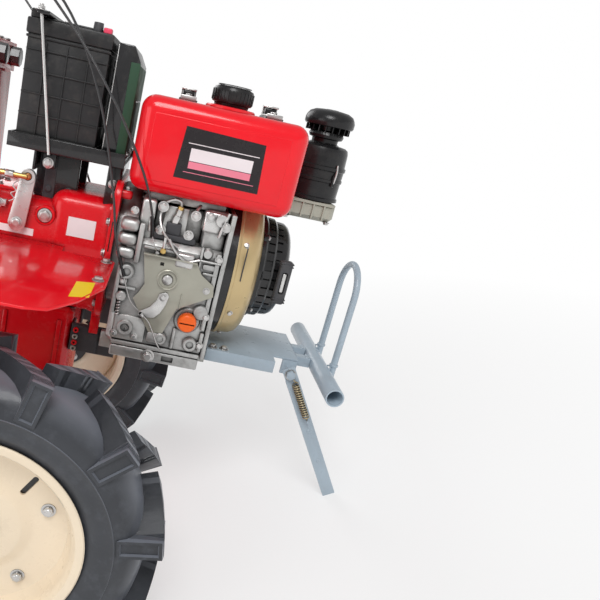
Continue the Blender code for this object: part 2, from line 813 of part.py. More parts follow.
def make_engine():
    block = box(
        "crankcase",
        (BLOCK_REAR, BLOCK_NEAR, DECK_Z),
        (BLOCK_FRONT, BLOCK_FAR, BLOCK_TOP),
        "cast_alloy",
        0.010,
        segments=1,
    )
    bell_front = CASE_FRONT + BELL_LENGTH + FLANGE_T
    adapter = rod(
        "engine_adapter",
        (bell_front + GAP, 0, CRANK_Z),
        (BLOCK_REAR + 0.02, 0, CRANK_Z),
        min(BELL_R_FRONT, BLOCK_FAR) - 0.004,
        sides=32,
    )
    adapter_cut = box("adapter_trim", (0.0, -0.3, 0.0), (BLOCK_FRONT, 0.3, DECK_Z))
    spigot = rod(
        "flywheel_spigot",
        (BLOCK_FRONT - 0.01, 0, CRANK_Z),
        (BLOCK_FRONT + SHROUD_STANDOFF - GAP, 0, CRANK_Z),
        0.105,
        sides=32,
    )
    pump = box(
        "injection_pump",
        (BLOCK_REAR + 0.062, -0.125, BLOCK_TOP - 0.005),
        (BLOCK_REAR + 0.102, -0.080, BARREL_TOP - 0.010),
    )
    cut(join(block, adapter, spigot, pump), adapter_cut)
    barrel = box(
        "cylinder_barrel",
        (BLOCK_REAR + 0.022, -0.060, BLOCK_TOP + GAP),
        (BLOCK_FRONT - 0.010, BLOCK_FAR, BARREL_TOP - GAP),
        "cast_alloy",
        0.006,
        segments=1,
    )
    cradle = box(
        "tank_cradle",
        (TANK_REAR + 0.040, TANK_NEAR + 0.035, BARREL_TOP - 0.006),
        (TANK_FRONT - 0.100, HEAD_NEAR - 0.003, TANK_BOTTOM - GAP),
    )
    join(barrel, cradle)
    box(
        "cylinder_head",
        (BLOCK_REAR + 0.022, HEAD_NEAR, BARREL_TOP),
        (BLOCK_FRONT - 0.010, HEAD_FAR, HEAD_TOP),
        "cast_alloy",
        0.010,
        segments=1,
    )
    shroud_x = BLOCK_FRONT + SHROUD_STANDOFF
    shroud = turned(
        "flywheel_shroud",
        [
            (0, SHROUD_DEPTH),
            (SHROUD_R - 0.024, SHROUD_DEPTH),
            (SHROUD_R - 0.010, SHROUD_DEPTH - 0.005),
            (SHROUD_R - 0.002, SHROUD_DEPTH - 0.016),
            (SHROUD_R, SHROUD_DEPTH - 0.028),
            (SHROUD_R, 0),
            (0, 0),
        ],
        (shroud_x, 0, CRANK_Z),
        (1, 0, 0),
        "gold_paint",
        40,
    )
    flat_top = box(
        "shroud_flat",
        (shroud_x - 0.01, -SHROUD_R, TANK_BOTTOM - MOVING),
        (shroud_x + SHROUD_DEPTH + 0.01, SHROUD_R, CRANK_Z + SHROUD_R + 0.01),
    )
    cut(shroud, flat_top)
    recoil_x = shroud_x + SHROUD_DEPTH + GAP
    turned(
        "recoil_starter",
        [
            (0, RECOIL_DEPTH),
            (RECOIL_R - 0.030, RECOIL_DEPTH),
            (RECOIL_R - 0.010, RECOIL_DEPTH - 0.008),
            (RECOIL_R, RECOIL_DEPTH - 0.022),
            (RECOIL_R, 0),
            (0, 0),
        ],
        (recoil_x, 0, CRANK_Z + 0.005),
        (1, 0, 0),
        "black_paint",
        32,
    )
    handle_x = recoil_x + RECOIL_DEPTH - 0.016
    handle_y = -RECOIL_R - GAP
    grip = box(
        "recoil_handle",
        (handle_x - 0.009, handle_y - 0.022, CRANK_Z - 0.030),
        (handle_x + 0.013, handle_y - 0.004, CRANK_Z + 0.050),
        "black_plastic",
        0.005,
    )
    neck = box(
        "recoil_neck",
        (handle_x - 0.006, handle_y - 0.010, CRANK_Z - 0.006),
        (handle_x + 0.006, handle_y, CRANK_Z + 0.016),
    )
    join(grip, neck)
    control_y = BLOCK_NEAR - CONTROL_T / 2 - GAP
    flat_plate(
        "control_plate",
        [(0.168, 0.410), (0.260, 0.408), (0.271, 0.390), (0.296, 0.374), (0.299, 0.355), (0.268, 0.337),
         (0.242, 0.322), (0.226, 0.273), (0.202, 0.270), (0.164, 0.326), (0.172, 0.339), (0.179, 0.355)],
        (0, control_y, 0),
        CONTROL_T,
        "olive_plate",
        "Y",
    )
    lever_y = BLOCK_NEAR - CONTROL_T - 2 * GAP
    lever = flat_plate(
        "governor_lever",
        [
            *arc(0.216, 0.360, 0.016, radians(-20), radians(200), 8),
            (0.204, 0.326),
            (0.184, 0.303),
            (0.188, 0.292),
            (0.208, 0.304),
            (0.226, 0.330),
        ],
        (0, lever_y - 0.0035, 0),
        0.003,
        "zinc_steel",
        "Y",
    )
    boss = rod("governor_boss", (0.216, lever_y, 0.360), (0.216, lever_y - 0.012, 0.360), 0.012, sides=16)
    join(lever, boss)
    cap_x, cap_z = BLOCK_FRONT - 0.044, DECK_Z + 0.068
    turned(
        "oil_filler_cap",
        [(0, 0.022), (OIL_CAP_R - 0.003, 0.022), (OIL_CAP_R, 0.019), (OIL_CAP_R, 0.003), (0.010, 0), (0, 0)],
        (cap_x, BLOCK_NEAR - GAP, cap_z),
        (0, -1, 0),
        "orange_plastic",
        20,
    )


def make_tank():
    box(
        "fuel_tank",
        (TANK_REAR, TANK_NEAR, TANK_BOTTOM),
        (TANK_FRONT, TANK_FAR, TANK_TOP),
        "red_paint",
        0.026,
        segments=3,
    )
    cap_x, cap_y = (TANK_REAR + TANK_FRONT) / 2 + 0.010, (TANK_NEAR + TANK_FAR) / 2
    turned(
        "tank_cap",
        [(0, 0.040), (CAP_R - 0.006, 0.040), (CAP_R, 0.034), (CAP_R, 0.012), (CAP_R - 0.006, 0.010),
         (CAP_R - 0.006, 0), (0, 0)],
        (cap_x, cap_y, TANK_TOP + GAP),
        (0, 0, 1),
        "black_plastic",
        28,
    )
    for word, x in (("rear", TANK_REAR + 0.072), ("front", TANK_FRONT - 0.045)):
        top = TANK_TOP + GAP
        strap = box(
            f"tank_clamp_{word}", (x - 0.015, TANK_FAR - 0.070, top), (x + 0.015, TANK_FAR + 0.005, top + 0.008),
            "zinc_steel",
        )
        drop = box(
            f"clamp_drop_{word}",
            (x - 0.015, TANK_FAR + GAP, HEAD_TOP - 0.014),
            (x + 0.015, TANK_FAR + 0.005, top + 0.008),
        )
        foot = box(
            f"clamp_foot_{word}",
            (x - 0.015, TANK_FAR + 0.001, HEAD_TOP - 0.014),
            (x + 0.015, HEAD_NEAR - GAP, HEAD_TOP - 0.008),
        )
        join(strap, drop, foot)


def make_air_cleaner():
    base = box(
        "air_cleaner_base",
        (CLEANER_X - CLEANER_R - 0.004, -0.044, TANK_BOTTOM - 0.004),
        (CLEANER_X + CLEANER_R - 0.008, 0.050, CLEANER_BOTTOM - GAP),
        "olive_plate",
        0.008,
        segments=1,
    )
    base_rear = CLEANER_X - CLEANER_R - 0.004
    knee = box(
        "intake_knee",
        (base_rear - 0.004, HEAD_NEAR, TANK_BOTTOM - 0.002),
        (base_rear + 0.022, HEAD_NEAR + 0.040, CLEANER_BOTTOM - 0.002),
    )
    elbow = box(
        "intake_elbow",
        (BLOCK_FRONT - 0.010 + GAP, HEAD_NEAR + 0.002, CLEANER_BOTTOM - 0.012),
        (base_rear + 0.002, HEAD_NEAR + 0.038, CLEANER_BOTTOM + 0.018),
    )
    join(base, knee, elbow)
    rise = CLEANER_TOP - CLEANER_BOTTOM
    turned(
        "air_cleaner",
        [
            (0, rise),
            (CLEANER_R - 0.012, rise),
            (CLEANER_R - 0.003, rise - 0.005),
            (CLEANER_R, rise - 0.014),
            (CLEANER_R, rise * 0.45),
            (CLEANER_R - 0.004, rise * 0.42),
            (CLEANER_R - 0.004, 0),
            (0, 0),
        ],
        (CLEANER_X, 0, CLEANER_BOTTOM),
        (0, 0, 1),
        "black_plastic",
        32,
    )
    turned(
        "pre_cleaner",
        [
            (0, 0.060),
            (PRECLEANER_R - 0.012, 0.058),
            (PRECLEANER_R - 0.002, 0.050),
            (PRECLEANER_R, 0.044),
            (PRECLEANER_R, 0.030),
            (PRECLEANER_R - 0.008, 0.026),
            (0.022, 0.022),
            (0.020, 0),
            (0, 0),
        ],
        (CLEANER_X, 0, CLEANER_TOP + GAP),
        (0, 0, 1),
        "black_plastic",
        32,
    )


def make_muffler():
    muffler_y = HEAD_FAR + 0.020 + MUFFLER_R
    muffler_z = HEAD_TOP - 0.055
    start = BLOCK_REAR + 0.050
    body = rod(
        "muffler", (start, muffler_y, muffler_z), (start + MUFFLER_LENGTH, muffler_y, muffler_z),
        MUFFLER_R, "black_paint", 28,
    )
    add_bevel(body, 0.010)
    port = box(
        "exhaust_port",
        (start + 0.040, HEAD_FAR + GAP, muffler_z - 0.022),
        (start + 0.085, muffler_y, muffler_z + 0.022),
    )
    outlet = rod(
        "exhaust_outlet",
        (start + MUFFLER_LENGTH - 0.030, muffler_y, muffler_z),
        (start + MUFFLER_LENGTH + 0.006, muffler_y + MUFFLER_R + 0.032, muffler_z),
        0.012,
        sides=16,
    )
    join(body, port, outlet)


# ================================================================ battery and its carrier


def make_battery():
    width, depth, height = BATTERY_SIZE
    rear, front = BATTERY_X - width / 2, BATTERY_X + width / 2
    box_rear = front + 0.008
    box_front = box_rear + BOX_WIDTH
    half = depth / 2
    tray_bottom = TRAY_TOP - TRAY_T
    bracket = box(
        "battery_bracket",
        (BATTERY_X - 0.030, -0.062, CASE_TOP + GAP),
        (BATTERY_X + 0.044, 0.062, tray_bottom - GAP),
        "black_paint",
    )
    hollow = box(
        "bracket_hollow",
        (BATTERY_X - 0.050, -0.054, CASE_TOP + 0.010),
        (BATTERY_X + 0.064, 0.054, tray_bottom - 0.008),
    )
    cut(bracket, hollow)
    tray = box(
        "battery_tray",
        (rear - TRAY_MARGIN, -half - TRAY_MARGIN, tray_bottom),
        (box_front + 0.004, half + TRAY_MARGIN, TRAY_TOP + TRAY_LIP),
        "black_paint",
    )
    well = box(
        "tray_well",
        (rear - TRAY_MARGIN + 0.003, -half - TRAY_MARGIN + 0.003, TRAY_TOP),
        (box_front + 0.02, half + TRAY_MARGIN - 0.003, TRAY_TOP + TRAY_LIP + 0.02),
    )
    cut(tray, well)
    body = box(
        "battery", (rear, -half, TRAY_TOP + GAP), (front, half, TRAY_TOP + height), "black_plastic", 0.004,
        segments=1,
    )
    terminals = [
        rod(
            f"battery_post_{word}",
            (BATTERY_X + x, y, TRAY_TOP + height - 0.004),
            (BATTERY_X + x, y, TRAY_TOP + height + 0.014),
            0.009,
            sides=14,
        )
        for word, x, y in (("right", 0.045, -half + 0.030), ("left", 0.045, half - 0.030))
    ]
    join(body, *terminals)
    box_top = TRAY_TOP + height - 0.008
    control = box(
        "control_box", (box_rear, -half + 0.004, TRAY_TOP + GAP), (box_front, half - 0.004, box_top),
        "black_plastic",
    )
    chamfer = box(
        "box_chamfer",
        (box_front - 0.010, -half - 0.02, box_top - 0.012),
        (box_front + 0.03, half + 0.02, box_top + 0.03),
    )
    chamfer.rotation_euler = (0.0, radians(45), 0.0)
    chamfer.location = (box_front + 0.010, 0.0, box_top + 0.008)
    cut(control, chamfer)
    bar_x = rear + 0.028
    bar_z = TRAY_TOP + height + GAP
    strap = box(
        "battery_hold_down", (bar_x - 0.010, -half - 0.018, bar_z), (bar_x + 0.010, half + 0.018, bar_z + 0.006),
        "zinc_steel",
    )
    join(strap, *[hold_down_rod(side, bar_x, bar_z, half) for side in (-1, 1)])


def hold_down_rod(side, bar_x, bar_z, half):
    """The long bolt from the tray's edge up to the clamping bar."""
    y = side * (half + TRAY_MARGIN + GAP + 0.003)
    return rod(
        f"hold_down_rod_{side}", (bar_x, y, TRAY_TOP - 0.010), (bar_x, y, bar_z + 0.016), 0.003, sides=10
    )


# ================================================================ handlebars


def make_handlebars():
    half_x, half_y = COLUMN_SIZE[0] / 2, COLUMN_SIZE[1] / 2
    column = box(
        "handlebar_column",
        (COLUMN_X - half_x, -half_y, CASE_TOP + GAP),
        (COLUMN_X + half_x, half_y, COLUMN_TOP),
        "red_paint",
        0.006,
        segments=1,
    )
    foot = box(
        "column_foot",
        (COLUMN_X - half_x - 0.012, -half_y - 0.020, CASE_TOP + GAP),
        (COLUMN_X + half_x + 0.010, half_y + 0.020, CASE_TOP + 0.010),
    )
    crown_z = COLUMN_TOP
    bar_z = crown_z + BAR_R + 0.006
    crown = box(
        "handlebar_crown",
        (COLUMN_X - half_x - 0.020, -half_y - 0.028, crown_z - 0.004),
        (COLUMN_X + half_x - 0.004, half_y + 0.028, bar_z + BAR_R + 0.006),
    )
    join(column, foot, crown)
    for side, word in ((-1, "right"), (1, "left")):
        start_y = side * (half_y + 0.002)
        bend = smooth_route(
            [
                (COLUMN_X - half_x - 0.032, start_y, bar_z),
                (COLUMN_X - half_x - 0.080, start_y + side * 0.006, bar_z + 0.004),
                (COLUMN_X - 0.210, side * (half_y + 0.050), bar_z + 0.020),
                (BAR_REACH + 0.380, side * (BAR_SPREAD - 0.050), BAR_HEIGHT - 0.032),
                (BAR_REACH + 0.250, side * (BAR_SPREAD - 0.004), BAR_HEIGHT - 0.004),
                (BAR_REACH + BAR_STRAIGHT, side * BAR_SPREAD, BAR_HEIGHT),
            ],
            3,
        )
        route = [
            (COLUMN_X + half_x + 0.012, start_y, bar_z),
            *bend,
            (BAR_REACH, side * BAR_SPREAD, BAR_HEIGHT),
        ]
        tube(f"handlebar_{word}", route, BAR_R, "black_paint")
        channel = rod(
            f"clamp_bore_{word}",
            (COLUMN_X + half_x + 0.05, start_y, bar_z),
            (COLUMN_X - half_x - 0.030, start_y, bar_z),
            BAR_R + RUNNING,
            sides=20,
        )
        cut(column, channel)
        turned(
            f"grip_{word}",
            [
                (GRIP_R + 0.006, 0),
                (GRIP_R + 0.006, -0.006),
                (GRIP_R, -0.010),
                (GRIP_R, -GRIP_LENGTH - 0.002),
                (BAR_R + 0.0006, -GRIP_LENGTH - 0.002),
                (BAR_R + 0.0006, 0),
            ],
            (BAR_REACH + GRIP_LENGTH, side * BAR_SPREAD, BAR_HEIGHT),
            (1, 0, 0),
            "black_plastic",
            20,
            closed=True,
        )
        make_hand_lever(side)


def make_hand_lever(side):
    """Clamp on the handlebar ahead of the grip: it holds the cables above, the lever blade below."""
    x = BAR_REACH + GRIP_LENGTH + LEVER_AHEAD
    y = side * BAR_SPREAD
    z = BAR_HEIGHT
    name = "clutch_lever" if side > 0 else "throttle_lever"
    half = LEVER_CLAMP / 2
    clamp = box(
        name, (x - half, y - 0.023, z - 0.034), (x + half, y + 0.023, z + CABLE_RISE + 0.006), "black_paint"
    )
    hole = rod(f"{name}_bore", (x - 0.02, y, z), (x + 0.02, y, z), BAR_R + RUNNING, sides=20)
    length = 0.110 if side > 0 else 0.045
    blade = box(f"{name}_blade", (x - length, y - 0.008, z - 0.043), (x + half, y + 0.008, z - 0.030))
    cut(join(clamp, blade), hole)


def make_console():
    """Switch panel between the handlebars, on the back of the column."""
    half_x = COLUMN_SIZE[0] / 2
    box(
        "switch_console",
        (COLUMN_X - half_x - 0.062, -0.032, COLUMN_TOP - 0.130),
        (COLUMN_X - half_x - GAP, 0.032, COLUMN_TOP - 0.035),
        "black_plastic",
        0.008,
    )


def make_cables():
    """Control cables, held at the hand lever clamps and at the engine and clutch housing."""
    start_x = BAR_REACH + GRIP_LENGTH + LEVER_AHEAD + LEVER_CLAMP / 2 + GAP
    start_z = BAR_HEIGHT + CABLE_RISE
    throttle = [
        (start_x, -BAR_SPREAD - 0.010, start_z),
        (start_x + 0.060, -BAR_SPREAD - 0.008, start_z + 0.004),
        (-0.560, -0.270, 0.880),
        (-0.330, -0.195, 0.915),
        (-0.160, -0.150, 0.860),
        (-0.020, -0.142, 0.745),
        (0.075, -0.160, 0.640),
        (0.140, -0.172, 0.545),
        (0.168, -0.166, 0.480),
        (0.176, -0.158, 0.440),
    ]
    stop = [
        (start_x, -BAR_SPREAD + 0.010, start_z),
        (start_x + 0.060, -BAR_SPREAD + 0.012, start_z + 0.004),
        (-0.560, -0.238, 0.868),
        (-0.330, -0.172, 0.890),
        (-0.140, -0.134, 0.838),
        (-0.025, -0.125, 0.762),
        (0.050, -0.138, 0.640),
        (0.098, -0.148, 0.500),
        (0.118, -0.156, 0.420),
        (0.142, -0.158, 0.362),
    ]
    clutch = [
        (start_x, BAR_SPREAD, start_z),
        (start_x + 0.060, BAR_SPREAD - 0.004, start_z + 0.004),
        (-0.560, 0.255, 0.868),
        (-0.330, 0.180, 0.880),
        (-0.150, 0.135, 0.780),
        (-0.060, 0.128, 0.640),
        (0.010, 0.128, 0.500),
        (0.050, 0.128, 0.420),
    ]
    for name, route in (("throttle_cable", throttle), ("stop_cable", stop), ("clutch_cable", clutch)):
        tube(name, smooth_route(route, 3), CABLE_R, "black_plastic")


# ================================================================ assembly


def middle_of_length():
    """World X half way between the machine's rearmost and foremost points."""
    bpy.context.view_layer.update()
    graph = bpy.context.evaluated_depsgraph_get()
    found = []
    for obj in PARTS.objects:
        if obj.type == "EMPTY":
            continue
        evaluated = obj.evaluated_get(graph)
        mesh = evaluated.to_mesh()
        found += [(evaluated.matrix_world @ vertex.co).x for vertex in mesh.vertices]
        evaluated.to_mesh_clear()
    return (min(found) + max(found)) / 2


clear_scene()
PARTS = new_collection("walking_tractor")
CUTTERS = new_collection("cutters")
FINISHES = {name: make_material(name, *look) for name, look in MATERIALS.items()}
PARKED = make_empty("parked", None, (0.0, 0.0, TYRE_R), parking_pitch())

for wheel_side, wheel_word in ((-1, "right"), (1, "left")):
    make_wheel(wheel_side, wheel_word)
    make_axle_housing(wheel_side, wheel_word)
    make_fender(wheel_side, wheel_word)
    make_rail(wheel_side, wheel_word)
make_gearbox()
make_hitch()
make_shift_linkage()
make_front_plate()
make_bumper()
make_stand()
make_engine()
make_tank()
make_air_cleaner()
make_muffler()
make_battery()
make_handlebars()
make_console()
make_cables()
PARKED.location.x -= middle_of_length()
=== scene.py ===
"""Looks of a walk-behind two-wheel tractor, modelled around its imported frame.

Every piece is modelled in the machine's own level frame (X forward, Y to the driver's left, Z up,
origin at the middle of the wheel axle) and then lowered onto its wheels and stand. Units are metres.
"""

from __future__ import annotations

import json
import logging
from collections.abc import Iterator, Sequence
from contextlib import contextmanager
from dataclasses import dataclass, field
from enum import Enum
from math import cos, pi, radians, sin

import bpy
from bpy.types import Material, Node, NodeTree, Object
from mathutils import Matrix, Vector


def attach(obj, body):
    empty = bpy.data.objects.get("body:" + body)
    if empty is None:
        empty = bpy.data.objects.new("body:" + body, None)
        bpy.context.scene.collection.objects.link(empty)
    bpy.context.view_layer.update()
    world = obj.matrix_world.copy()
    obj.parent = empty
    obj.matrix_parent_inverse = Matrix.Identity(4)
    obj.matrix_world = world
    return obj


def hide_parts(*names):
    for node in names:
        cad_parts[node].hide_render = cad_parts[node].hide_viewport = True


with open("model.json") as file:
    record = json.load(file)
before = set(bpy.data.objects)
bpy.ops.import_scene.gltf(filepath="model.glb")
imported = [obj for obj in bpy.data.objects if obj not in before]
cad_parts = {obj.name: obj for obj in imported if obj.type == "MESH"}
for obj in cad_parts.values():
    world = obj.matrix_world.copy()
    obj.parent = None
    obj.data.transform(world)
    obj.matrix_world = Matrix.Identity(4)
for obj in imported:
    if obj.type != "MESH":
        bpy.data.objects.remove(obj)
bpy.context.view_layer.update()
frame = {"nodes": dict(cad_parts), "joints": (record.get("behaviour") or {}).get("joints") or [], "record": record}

LOG = logging.getLogger("walking_tractor")
Point = Sequence[float]

X_AXIS = Vector((1.0, 0.0, 0.0))
Y_AXIS = Vector((0.0, 1.0, 0.0))
Z_AXIS = Vector((0.0, 0.0, 1.0))
MERGE = 0.00002
SEAT = 0.0004  # a fitting's foot, sunk into what carries it


# ================================================================ frame


class ParkedFrame:
    """The machine's level frame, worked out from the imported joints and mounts."""

    def __init__(self) -> None:
        """Reads the axle's place and the deck's tilt."""
        joints = {joint["name"]: joint for joint in frame["joints"]}
        mounts = {mount["name"]: mount for mount in frame["record"]["mounts"]}
        axle = Vector(joints["wheel_right_spin"]["pos_m"])
        up = Vector(mounts["front_plate_top"]["axis"]).normalized()
        forward = Y_AXIS.cross(up)
        turn = Matrix((forward, Y_AXIS, up)).transposed().to_4x4()
        self.to_world = Matrix.Translation((axle.x, 0.0, axle.z)) @ turn
        self.to_level = self.to_world.inverted()
        self.half_track = abs(axle.y)

    def span(self, *nodes: str) -> tuple[Vector, Vector]:
        """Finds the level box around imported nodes.

        Args:
            nodes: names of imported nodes.

        Returns:
            The lowest and the highest corner, in the level frame.
        """
        low, high = Vector((1e9,) * 3), Vector((-1e9,) * 3)
        for name in nodes:
            for vertex in frame["nodes"][name].data.vertices:
                place = self.to_level @ vertex.co
                low, high = Vector(map(min, low, place)), Vector(map(max, high, place))
        return low, high


PARKED = ParkedFrame()


# ================================================================ finishes


class Grain(Enum):
    """Kinds of surface, by the bump that they show."""

    PAINT = "paint"
    CAST = "cast"
    PLASTIC = "plastic"
    RUBBER = "rubber"
    STEEL = "steel"
    LABEL = "label"


# scale of the bump's noise, its strength, its height
GRAIN_BUMP = {
    Grain.PAINT: (160.0, 0.1, 0.0003),
    Grain.CAST: (420.0, 0.45, 0.0006),
    Grain.PLASTIC: (900.0, 0.2, 0.0002),
    Grain.RUBBER: (140.0, 0.35, 0.0006),
    Grain.STEEL: (700.0, 0.12, 0.0002),
    Grain.LABEL: (60.0, 0.06, 0.0002),
}


@dataclass(frozen=True)
class Finish:
    """A surface: its colour, how it shines, its grain and the dust that lies on it, with painted shade in corners
    and a painted sheen on rubber, by its grain.
    """

    name: str
    colour: tuple[float, float, float]
    roughness: float
    metallic: float = 0.0
    coat: float = 0.0
    grain: Grain = Grain.PAINT
    mottle: float = 0.06
    dust: float = 0.1
    dust_and_sheen_colour: tuple[float, float, float] = (0.3, 0.27, 0.23)
    slot: str = ""

    def material(self) -> Material:
        """Gives this finish's material, made at its first use."""
        found = bpy.data.materials.get(f"{self.name}_finish")
        return found or self._make()

    def _make(self) -> Material:
        """Builds the node tree.

        Returns:
            The new material.
        """
        made = bpy.data.materials.new(f"{self.name}_finish")
        made.use_nodes = True
        tree = made.node_tree
        shader = tree.nodes["Principled BSDF"]
        shader.inputs["Metallic"].default_value = self.metallic
        shader.inputs["Specular IOR Level"].default_value = 0.35
        shader.inputs["Coat Weight"].default_value = self.coat
        shader.inputs["Coat Roughness"].default_value = 0.06
        place = tree.nodes.new("ShaderNodeTexCoord").outputs["Object"]
        clouds = noise(tree, place, 7.0, 5.0, 0.55)
        specks = noise(tree, place, 46.0, 8.0, 0.68)
        darker = tuple(channel * (1.0 - self.mottle) for channel in self.colour)
        lighter = tuple(min(1.0, channel * (1.0 + self.mottle)) for channel in self.colour)
        body = mix(tree, spread(tree, clouds, (0.35, 0.65), (0.0, 1.0)), darker, lighter)
        dusty = spread(tree, specks, (0.5, 0.74), (0.0, self.dust))
        colour = mix(tree, dusty, body, self.dust_and_sheen_colour)
        # painted sheen: on rubber, faces that don't face along the axle are lightened towards the dust colour
        if self.grain is Grain.RUBBER:
            facing = tree.nodes.new("ShaderNodeSeparateXYZ")
            tree.links.new(tree.nodes.new("ShaderNodeNewGeometry").outputs["Normal"], facing.inputs[0])
            aside = tree.nodes.new("ShaderNodeMath")
            aside.operation = "ABSOLUTE"
            tree.links.new(facing.outputs["Y"], aside.inputs[0])
            painted_sheen = spread(tree, aside.outputs[0], (0.25, 0.9), (0.8, 0.0))
            colour = mix(tree, painted_sheen, colour, self.dust_and_sheen_colour)
        # painted shade: ambient occlusion darkens corners and crevices towards a tenth of the colour
        if self.grain in (Grain.CAST, Grain.STEEL, Grain.PLASTIC):
            corners = tree.nodes.new("ShaderNodeAmbientOcclusion")
            corners.inputs["Distance"].default_value = 0.014
            corners.samples = 8
            painted_shade_colour = tuple(channel * 0.1 for channel in self.colour)
            colour = mix(tree, spread(tree, corners.outputs["AO"], (0.25, 0.85), (0.0, 1.0)), painted_shade_colour, colour)
        tree.links.new(colour, shader.inputs["Base Color"])
        low, high = max(0.04, self.roughness * 0.8), min(1.0, self.roughness * 1.25 + 0.5 * self.dust)
        tree.links.new(spread(tree, specks, (0.35, 0.7), (low, high)), shader.inputs["Roughness"])
        scale, strength, height = GRAIN_BUMP[self.grain]
        if self.grain is Grain.STEEL:
            brush = tree.nodes.new("ShaderNodeMapping")
            brush.inputs["Scale"].default_value = (1.0, 1.0, 0.06)
            tree.links.new(place, brush.inputs["Vector"])
            place = brush.outputs["Vector"]
        bump = tree.nodes.new("ShaderNodeBump")
        bump.inputs["Strength"].default_value = strength
        bump.inputs["Distance"].default_value = height
        tree.links.new(noise(tree, place, scale, 4.0, 0.6), bump.inputs["Height"])
        tree.links.new(bump.outputs["Normal"], shader.inputs["Normal"])
        return made


def noise(tree: NodeTree, place: Node, scale: float, detail: float, rough: float) -> Node:
    """Adds a noise texture and gives its value output."""
    made = tree.nodes.new("ShaderNodeTexNoise")
    made.inputs["Scale"].default_value = scale
    made.inputs["Detail"].default_value = detail
    made.inputs["Roughness"].default_value = rough
    tree.links.new(place, made.inputs["Vector"])
    return made.outputs["Fac"]


def spread(tree: NodeTree, value: Node, source: Point, target: Point) -> Node:
    """Maps a value from one range to another, held within it, and gives the output."""
    made = tree.nodes.new("ShaderNodeMapRange")
    for name, number in zip(("From Min", "From Max", "To Min", "To Max"), (*source, *target)):
        made.inputs[name].default_value = number
    tree.links.new(value, made.inputs["Value"])
    return made.outputs["Result"]


def mix(tree: NodeTree, share: Node, first: Node | Point, second: Node | Point) -> Node:
    """Mixes two colours, each a link or three numbers, and gives the output."""
    made = tree.nodes.new("ShaderNodeMix")
    made.data_type = "RGBA"
    tree.links.new(share, made.inputs["Factor"])
    for name, colour in (("A_Color", first), ("B_Color", second)):
        socket = next(s for s in made.inputs if s.identifier == name)
        if isinstance(colour, bpy.types.NodeSocket):
            tree.links.new(colour, socket)
        else:
            socket.default_value = (*colour, 1.0)
    return next(s for s in made.outputs if s.identifier == "Result_Color")


RED = Finish("red_gloss", (0.8, 0.003, 0.012), 0.2, coat=0.25, mottle=0.05, dust=0.02, slot="red_paint")
CAST_RED = Finish("red_on_casting", (0.7, 0.003, 0.01), 0.24, coat=0.25, grain=Grain.CAST, dust=0.05,
                  slot="red_paint")
CREAM = Finish("cream_gloss", (0.83, 0.7, 0.53), 0.3, coat=0.3, mottle=0.03, dust=0.05, slot="cream_paint")
BLUE_GREY = Finish("blue_grey", (0.38, 0.46, 0.53), 0.32, coat=0.2, mottle=0.08, dust=0.1, slot="grey_paint")
GOLD = Finish("gold_metallic", (0.54, 0.41, 0.21), 0.34, 0.45, coat=0.4, mottle=0.06, dust=0.04,
              slot="gold_paint")
ALLOY = Finish("sand_cast_alloy", (0.5, 0.5, 0.49), 0.36, 0.8, grain=Grain.CAST, mottle=0.22, dust=0.45,
               dust_and_sheen_colour=(0.16, 0.15, 0.14), slot="cast_alloy")
OLIVE = Finish("olive_passivated", (0.4, 0.39, 0.33), 0.36, 0.45, mottle=0.1, dust=0.1, slot="olive_plate")
ORANGE = Finish("orange_moulded", (0.9, 0.13, 0.01), 0.38, grain=Grain.PLASTIC, dust=0.05,
                slot="orange_plastic")
ZINC = Finish("zinc_plated", (0.62, 0.61, 0.6), 0.3, 0.9, grain=Grain.STEEL, mottle=0.12, dust=0.1,
              slot="zinc_steel")
BRASS = Finish("brass", (0.66, 0.45, 0.16), 0.3, 0.9, grain=Grain.STEEL, mottle=0.12, dust=0.1,
               slot="zinc_steel")
BLACK_PLASTIC = Finish("black_moulded", (0.012, 0.012, 0.013), 0.26, grain=Grain.PLASTIC, dust=0.04,
                       slot="black_plastic")
BATTERY_CASE = Finish("battery_case", (0.017, 0.017, 0.018), 0.4, grain=Grain.PLASTIC, dust=0.1,
                      slot="black_plastic")
BLACK = Finish("black_gloss", (0.012, 0.012, 0.013), 0.2, coat=0.4, dust=0.04, slot="black_paint")
DARK = Finish("dark_grey", (0.05, 0.05, 0.055), 0.42, dust=0.12, slot="dark_paint")
# its dust colour is also the painted sheen on the tread and the lug tops
RUBBER = Finish("tyre_rubber", (0.038, 0.041, 0.048), 0.36, coat=0.1, grain=Grain.RUBBER, mottle=0.18,
                dust=0.16,
                dust_and_sheen_colour=(0.2, 0.215, 0.25), slot="tyre_rubber")
COPPER = Finish("copper", (0.7, 0.3, 0.12), 0.34, 0.85, grain=Grain.STEEL, dust=0.1, slot="zinc_steel")
SPRING_BRASS = Finish("yellow_zinc_spring", (0.46, 0.38, 0.24), 0.32, 0.85, grain=Grain.STEEL, dust=0.15,
                      slot="zinc_steel")
BED_GREY = Finish("light_grey_bed", (0.4, 0.4, 0.38), 0.4, 0.2, mottle=0.12, dust=0.2, slot="dark_paint")
CABLE = Finish("cable_sheath", (0.035, 0.035, 0.037), 0.22, coat=0.3, grain=Grain.PLASTIC, dust=0.04,
               slot="black_plastic")
LABEL_WHITE = Finish("label_white", (0.86, 0.85, 0.86), 0.35, grain=Grain.LABEL, dust=0.03,
                     slot="cream_paint")
LABEL_BLACK = Finish("label_black", (0.016, 0.012, 0.014), 0.25, grain=Grain.LABEL, dust=0.02,
                     slot="black_plastic")
LABEL_PALE = Finish("label_pale", (0.8, 0.72, 0.74), 0.35, grain=Grain.LABEL, dust=0.02, slot="cream_paint")
LABEL_PINK = Finish("label_pink", (0.8, 0.22, 0.3), 0.35, grain=Grain.LABEL, dust=0.02, slot="red_paint")
LABEL_YELLOW = Finish("label_yellow", (0.9, 0.68, 0.02), 0.35, grain=Grain.LABEL, dust=0.02,
                      slot="orange_plastic")
